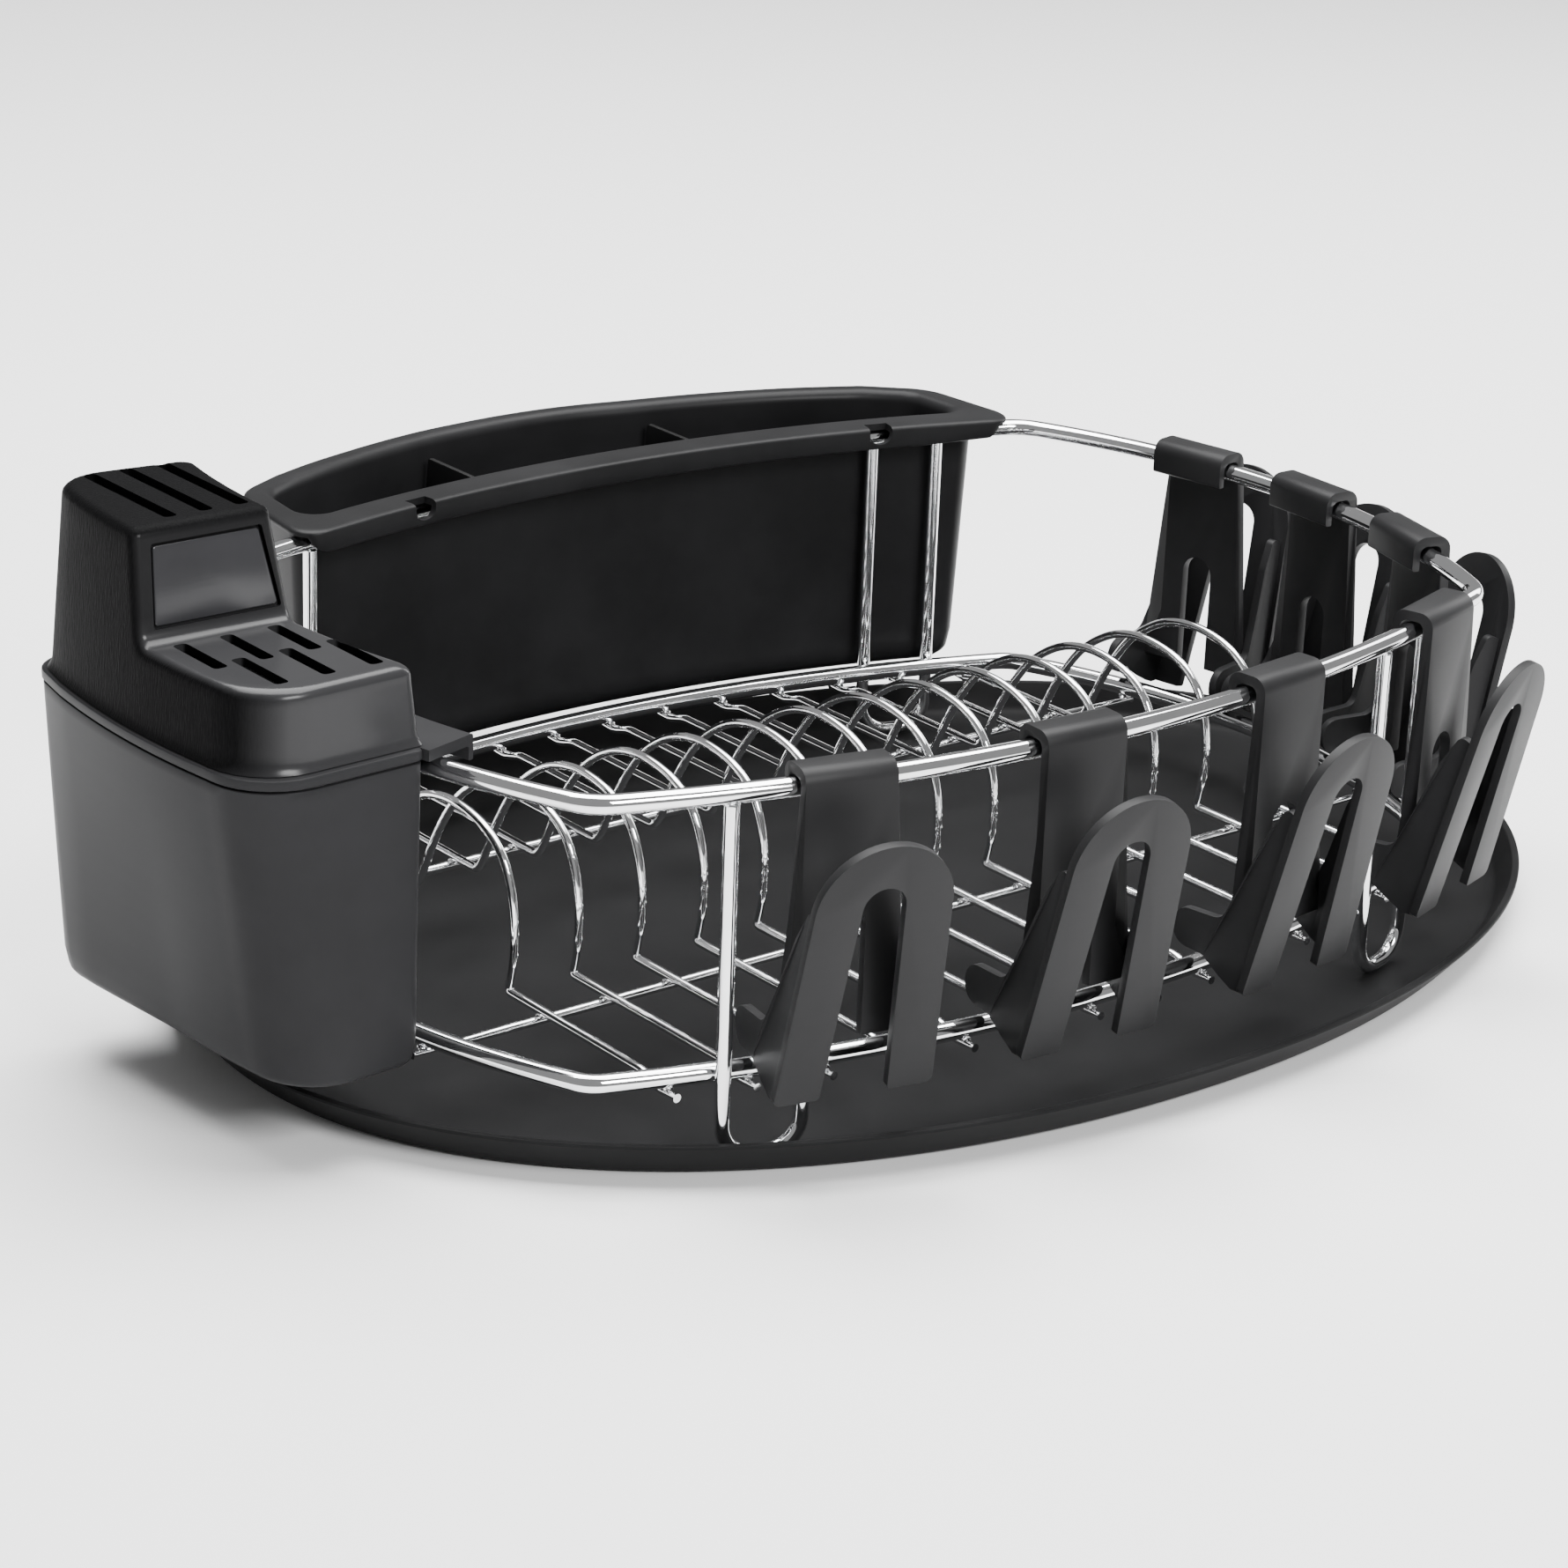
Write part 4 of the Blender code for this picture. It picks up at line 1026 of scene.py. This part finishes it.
def build_bin():
    band = bin_band()
    total = len(band)

    def skirt_z(i):
        """Lower edge of the rim's outer skirt: deep inside the rack, shallow elsewhere."""
        shallow = RAIL_COVER - 0.1
        x = band[i][0]
        if i <= BIN_FRONT_STEPS or i >= total - 4:
            near = min(x + 127.0, 173.0 - x)
        elif i <= BIN_FRONT_STEPS + 5:
            near = 173.0 - x
        else:
            return shallow
        t = min(1.0, max(0.0, near / SKIRT_TURN))
        return shallow - (shallow - SKIRT_LOW) * math.sqrt(max(0.0, 1 - (1 - t) ** 2))

    bottom = fillet(
        [(8.0, BIN_BOTTOM), (1.0, BIN_BOTTOM), (0.0, BIN_BOTTOM + 12.0)], [0, 6.5, 0], steps=8
    )
    rings = [bin_body(gap, z) for gap, z in bottom]
    rings += [bin_body(0.0, z) for z in (60.0, 76.0, 92.0, 108.0, 120.0, 126.0, RAIL_COVER)]
    skirt = [skirt_z(i) for i in range(total)]
    rings.append(level(bin_band(2.4), RAIL_COVER))
    for gap, lift in ((2.2, 0.0), (1.8, -0.03), (0.5, -0.03), (0.1, 0.25), (0.0, 0.7)):
        rings.append([
            (x, y, min(z + lift + 0.02, 129.3)) for (x, y), z in zip(bin_band(gap), skirt)
        ])
    for k in range(8):
        t = math.pi / 2 * k / 7
        rings.append(level(bin_band(2.6 * (1 - math.cos(t))), BIN_RIM - 1.5 + 1.5 * math.sin(t)))
    for k in range(9):
        t = math.pi / 2 * k / 8
        lip = bin_mouth(0.6 - 4.2 * (1 - math.sin(t)))
        rings.append(level(lip, BIN_RIM - 4.2 * (1 - math.cos(t))))
    rings.append(level(bin_mouth(0.8), 119.0))
    rings += [bin_body(BIN_WALL, z) for z in (112.0, 96.0, 70.0, 46.0)]
    rings += [bin_body(3.4, 41.0), bin_body(6.5, 38.0)]
    notches = [notch_shape(-front_angle(x, TOP_OFFSET)) for x in NOTCH_X]
    ribs = []
    for x in DIVIDER_X:
        for side in (-1, 1):
            ribs += divider_ribs(x + side * 2.3)
    obj = solid("bin_shell", loft(rings), add=ribs, cut=notches)
    piece(obj, "bin", BIN_BLACK, ["utensil_bin"], angle=40.0)
    build_dividers()


def notch_shape(angle):
    """Round-bottomed notch, cut through the front of the rim down into its skirt."""
    half = 4.6
    turns = [math.pi * k / 10 for k in range(11)]
    outline = [(-half, 134.0), (half, 134.0)]
    outline += [(half * math.cos(t), 128.0 - 3.6 * math.sin(t)) for t in turns]
    rings = []
    for o in (-3.6, -13.0):
        ring = []
        for u, z in outline:
            x, y = rail_point(angle, TOP_OFFSET + o)
            ring.append((x - math.sin(angle) * u, y + math.cos(angle) * u, z))
        rings.append(ring)
    return loft(rings)


def bin_inner_y(x, z, back):
    """Inner wall face of the bin at this x and height."""
    ring = bin_body(BIN_WALL, z)
    hits = []
    for (xa, ya, _), (xb, yb, _) in zip(ring, ring[1:] + ring[:1]):
        if (xa - x) * (xb - x) <= 0 and xa != xb:
            hits.append(ya + (yb - ya) * (x - xa) / (xb - xa))
    return max(hits) if back else min(hits)


def divider_ribs(x):
    """Two small vertical ribs, front and back, that hold one side of a divider."""
    shapes = []
    for back, sign in ((False, 1.0), (True, -1.0)):
        rings = []
        for z in (BIN_BOTTOM + 2.0, 110.0):
            y = bin_inner_y(x, z, back)
            outer, inner = y - sign * 1.2, y + sign * 2.6
            ring = [(x - 0.8, outer), (x + 0.8, outer), (x + 0.8, inner), (x - 0.8, inner)]
            rings.append(level(ring, z))
        shapes.append(loft(rings))
    return shapes


def build_dividers():
    for hand, x in zip(("left", "right"), DIVIDER_X):
        ring = []
        low, high = BIN_BOTTOM + 3.3, 124.0
        for back in (False, True):
            sign = -1.0 if back else 1.0
            run = []
            for z, room in ((low, 5.6), (low + 7.0, 0.9), (99.0, 0.9), (112.0, 3.0), (high, 5.0)):
                run.append((bin_inner_y(x, z, back) + sign * room, z))
            ring += reversed(run) if back else run
        ring = fillet(ring, 1.2, steps=3, closed=True)
        rings = [[(x + side, y, z) for y, z in ring] for side in (-1.0, 1.0)]
        obj = solid(f"divider_{hand}_plate", loft(rings), bevel=0.35)
        piece(obj, f"{hand}_divider", DIVIDER_BLACK, [f"divider_{hand}"])


# ---------------------------------------------------------------- cup holders

# sizes of one holder; (outward, height) for the ends of its fork
CLIP_HALF = 15.4
TAB_TOP = 62.0
TAB_HEIGHT = 19.0
TAB_FLARE = 7.6
FORK_LOW = (14.0, 29.0)
FORK_HIGH = (34.0, 117.5)
FORK_THICK = 3.0
WEB_THICK = 3.0
WEB_HALF = 25.6


def fork_outline():
    """The fork seen square on: two legs under one arch, with a slot between them."""
    length = math.hypot(FORK_HIGH[0] - FORK_LOW[0], FORK_HIGH[1] - FORK_LOW[1])
    arch = 23.0
    centre = length - arch
    slot = 7.2
    slot_centre = length - arch + 1.0
    foot_outer, foot_inner = 27.0, 11.6
    turns = [math.pi * (1 - k / 16) for k in range(17)]
    inner = [(slot * math.cos(t), slot_centre + slot * math.sin(t)) for t in turns]
    turns = [math.pi * k / 28 for k in range(29)]
    outer = [(arch * math.cos(t), centre + arch * math.sin(t)) for t in turns]
    left = fillet(
        [outer[-1], (-foot_outer, 0.0), (-foot_inner, 0.0), inner[0]], [0, 2.2, 1.2, 0], steps=4
    )
    right = fillet(
        [inner[-1], (foot_inner, 0.0), (foot_outer, 0.0), outer[0]], [0, 1.2, 2.2, 0], steps=4
    )
    return left[1:-1] + inner + right[1:-1] + outer


def build_holder(number, angle):
    cx, cy = rail_point(angle, TOP_OFFSET)
    nx, ny = math.cos(angle), math.sin(angle)
    tx, ty = -ny, nx

    def place(u, o, z):
        """Point u along the rail and o outward from the holder's middle."""
        return (cx + tx * u + nx * o, cy + ty * u + ny * o, z)

    profile = fillet(
        [(-4.3, 119.5), (-7.2, 119.5), (-7.2, 131.8), (7.9, 131.8), (7.9, 62.0), (7.9, 50.0),
         (7.9, 43.0), (4.3, 43.0), (4.3, 50.0), (4.3, 62.0), (4.3, 128.35), (-4.3, 128.35)],
        [0.5, 1.2, 4.6, 5.2, 0, 0, 1.0, 0.6, 0, 0, 2.6, 2.6], steps=6, closed=True,
    )
    rings = []
    for side in (-1, 1):
        ring = []
        for o, z in profile:
            half = CLIP_HALF + TAB_FLARE * min(1.0, max(0.0, (TAB_TOP - z) / TAB_HEIGHT))
            ring.append(place(side * half, o, z))
        rings.append(ring)
    clip = loft(rings)

    lean = Vector((FORK_HIGH[0] - FORK_LOW[0], FORK_HIGH[1] - FORK_LOW[1])).normalized()
    out = Vector((lean.y, -lean.x))
    outline = fork_outline()
    fork = loft([
        [place(u, FORK_LOW[0] + lean.x * s + out.x * t, FORK_LOW[1] + lean.y * s + out.y * t)
         for u, s in outline]
        for t in (0.0, FORK_THICK)
    ])

    webs = []
    web = fillet(
        [(15.4, 29.0), (29.6, 92.0), (24.2, 94.6), (18.0, 84.0), (9.6, 62.0), (5.2, 51.6),
         (-14.6, 51.0), (-14.6, 38.0), (-2.0, 37.2), (5.0, 32.4), (11.0, 29.0)],
        [0, 0, 2.6, 9.0, 9.0, 5.0, 6.3, 6.3, 3.0, 2.0, 0], steps=6, closed=True,
    )
    for side in (-1, 1):
        rings = []
        for t in (0.0, WEB_THICK):
            rings.append([
                place(side * (WEB_HALF - max(0.0, z - 52.0) * 0.115 - t), o, z) for o, z in web
            ])
        webs.append(loft(rings))

    slot = 6.5
    arch = [(-slot, 40.0), (slot, 40.0)]
    turns = [math.pi * k / 16 for k in range(17)]
    arch += [(slot * math.cos(t), 80.0 + slot * math.sin(t)) for t in turns]
    cut = loft([[place(u, o, z) for u, z in arch] for o in (3.0, 9.5)])
    obj = solid(
        f"holder_{number}_moulding", clip, add=[fork] + webs, cut=[cut], bevel=0.55, segments=3,
        bevel_angle=35.0,
    )
    node = f"cup_holder_{number}"
    piece(obj, f"holder_{number}", HOLDER_BLACK, [node], angle=40.0)


def build_holders():
    places = [front_angle(x, TOP_OFFSET) for x in HOOK_X]
    places += [side_angle(y, TOP_OFFSET) for y in HOOK_Y]
    for number, angle in enumerate(places, start=1):
        build_holder(number, angle)


# ---------------------------------------------------------------- stage

FLOOR_REACH = 6.0
FLOOR_DROP = 0.0004
LIGHT_TARGET = (0, 0, 0.05)
CAMERA_PLACE = (-872.3, -1061.7, 575.4)
CAMERA_ANGLES = (-38.77, 20.79, 2.15)
CAMERA_LENS = 97.64


def area_light(name, location, size, size_y, power):
    data = bpy.data.lights.new(name, "AREA")
    data.shape = "RECTANGLE"
    data.size = size
    data.size_y = size_y
    data.energy = power
    obj = bpy.data.objects.new(name, data)
    obj.location = location
    direction = Vector(LIGHT_TARGET) - Vector(location)
    obj.rotation_euler = direction.to_track_quat("-Z", "Y").to_euler()
    bpy.context.scene.collection.objects.link(obj)


def build_stage():
    mesh = bpy.data.meshes.new("floor")
    reach = FLOOR_REACH
    corners = [(-reach, -reach, 0), (reach, -reach, 0), (reach, reach, 0), (-reach, reach, 0)]
    mesh.from_pydata(corners, [], [(0, 1, 2, 3)])
    floor = bpy.data.objects.new("floor", mesh)
    floor.location.z = -FLOOR_DROP
    bpy.context.scene.collection.objects.link(floor)
    mat, _, _, shader = new_material("floor_white")
    shader.inputs["Base Color"].default_value = (0.92, 0.92, 0.92, 1.0)
    shader.inputs["Roughness"].default_value = 0.7
    mesh.materials.append(mat)

    world = bpy.data.worlds.new("studio")
    world.use_nodes = True
    background = world.node_tree.nodes["Background"]
    background.inputs["Color"].default_value = (1.0, 1.0, 1.0, 1.0)
    background.inputs["Strength"].default_value = 0.30
    bpy.context.scene.world = world

    area_light("key", (-0.2, -2.0, 1.5), 1.0, 0.8, 60.0)
    area_light("top", (0.3, 0.3, 2.0), 2.2, 1.8, 170.0)
    area_light("side", (1.9, 0.2, 0.9), 0.6, 1.2, 16.0)


def build_camera():
    """Camera at its place in the plan frame, turned by azimuth, elevation and roll."""
    azimuth, elevation, roll = (math.radians(v) for v in CAMERA_ANGLES)
    back = Vector((
        math.sin(azimuth) * math.cos(elevation), -math.cos(azimuth) * math.cos(elevation),
        math.sin(elevation),
    ))
    right = Vector((math.cos(azimuth), math.sin(azimuth), 0.0))
    up = back.cross(right)
    right_r = right * math.cos(roll) + up * math.sin(roll)
    up_r = up * math.cos(roll) - right * math.sin(roll)
    data = bpy.data.cameras.new("camera")
    data.lens = CAMERA_LENS
    data.sensor_width = 36.0
    data.clip_start = 0.05
    data.clip_end = 50.0
    camera = bpy.data.objects.new("camera", data)
    turn = Matrix((right_r, up_r, back)).transposed().to_4x4()
    place = Vector([v + shift for v, shift in zip(CAMERA_PLACE, ORIGIN_SHIFT)]) * MM
    camera.matrix_world = Matrix.Translation(place) @ turn
    bpy.context.scene.collection.objects.link(camera)
    bpy.context.scene.camera = camera


build_camera()
build_tray()
build_wires()
build_caddy()
build_lid()
build_bin()
build_holders()
build_stage()


bpy.context.view_layer.update()
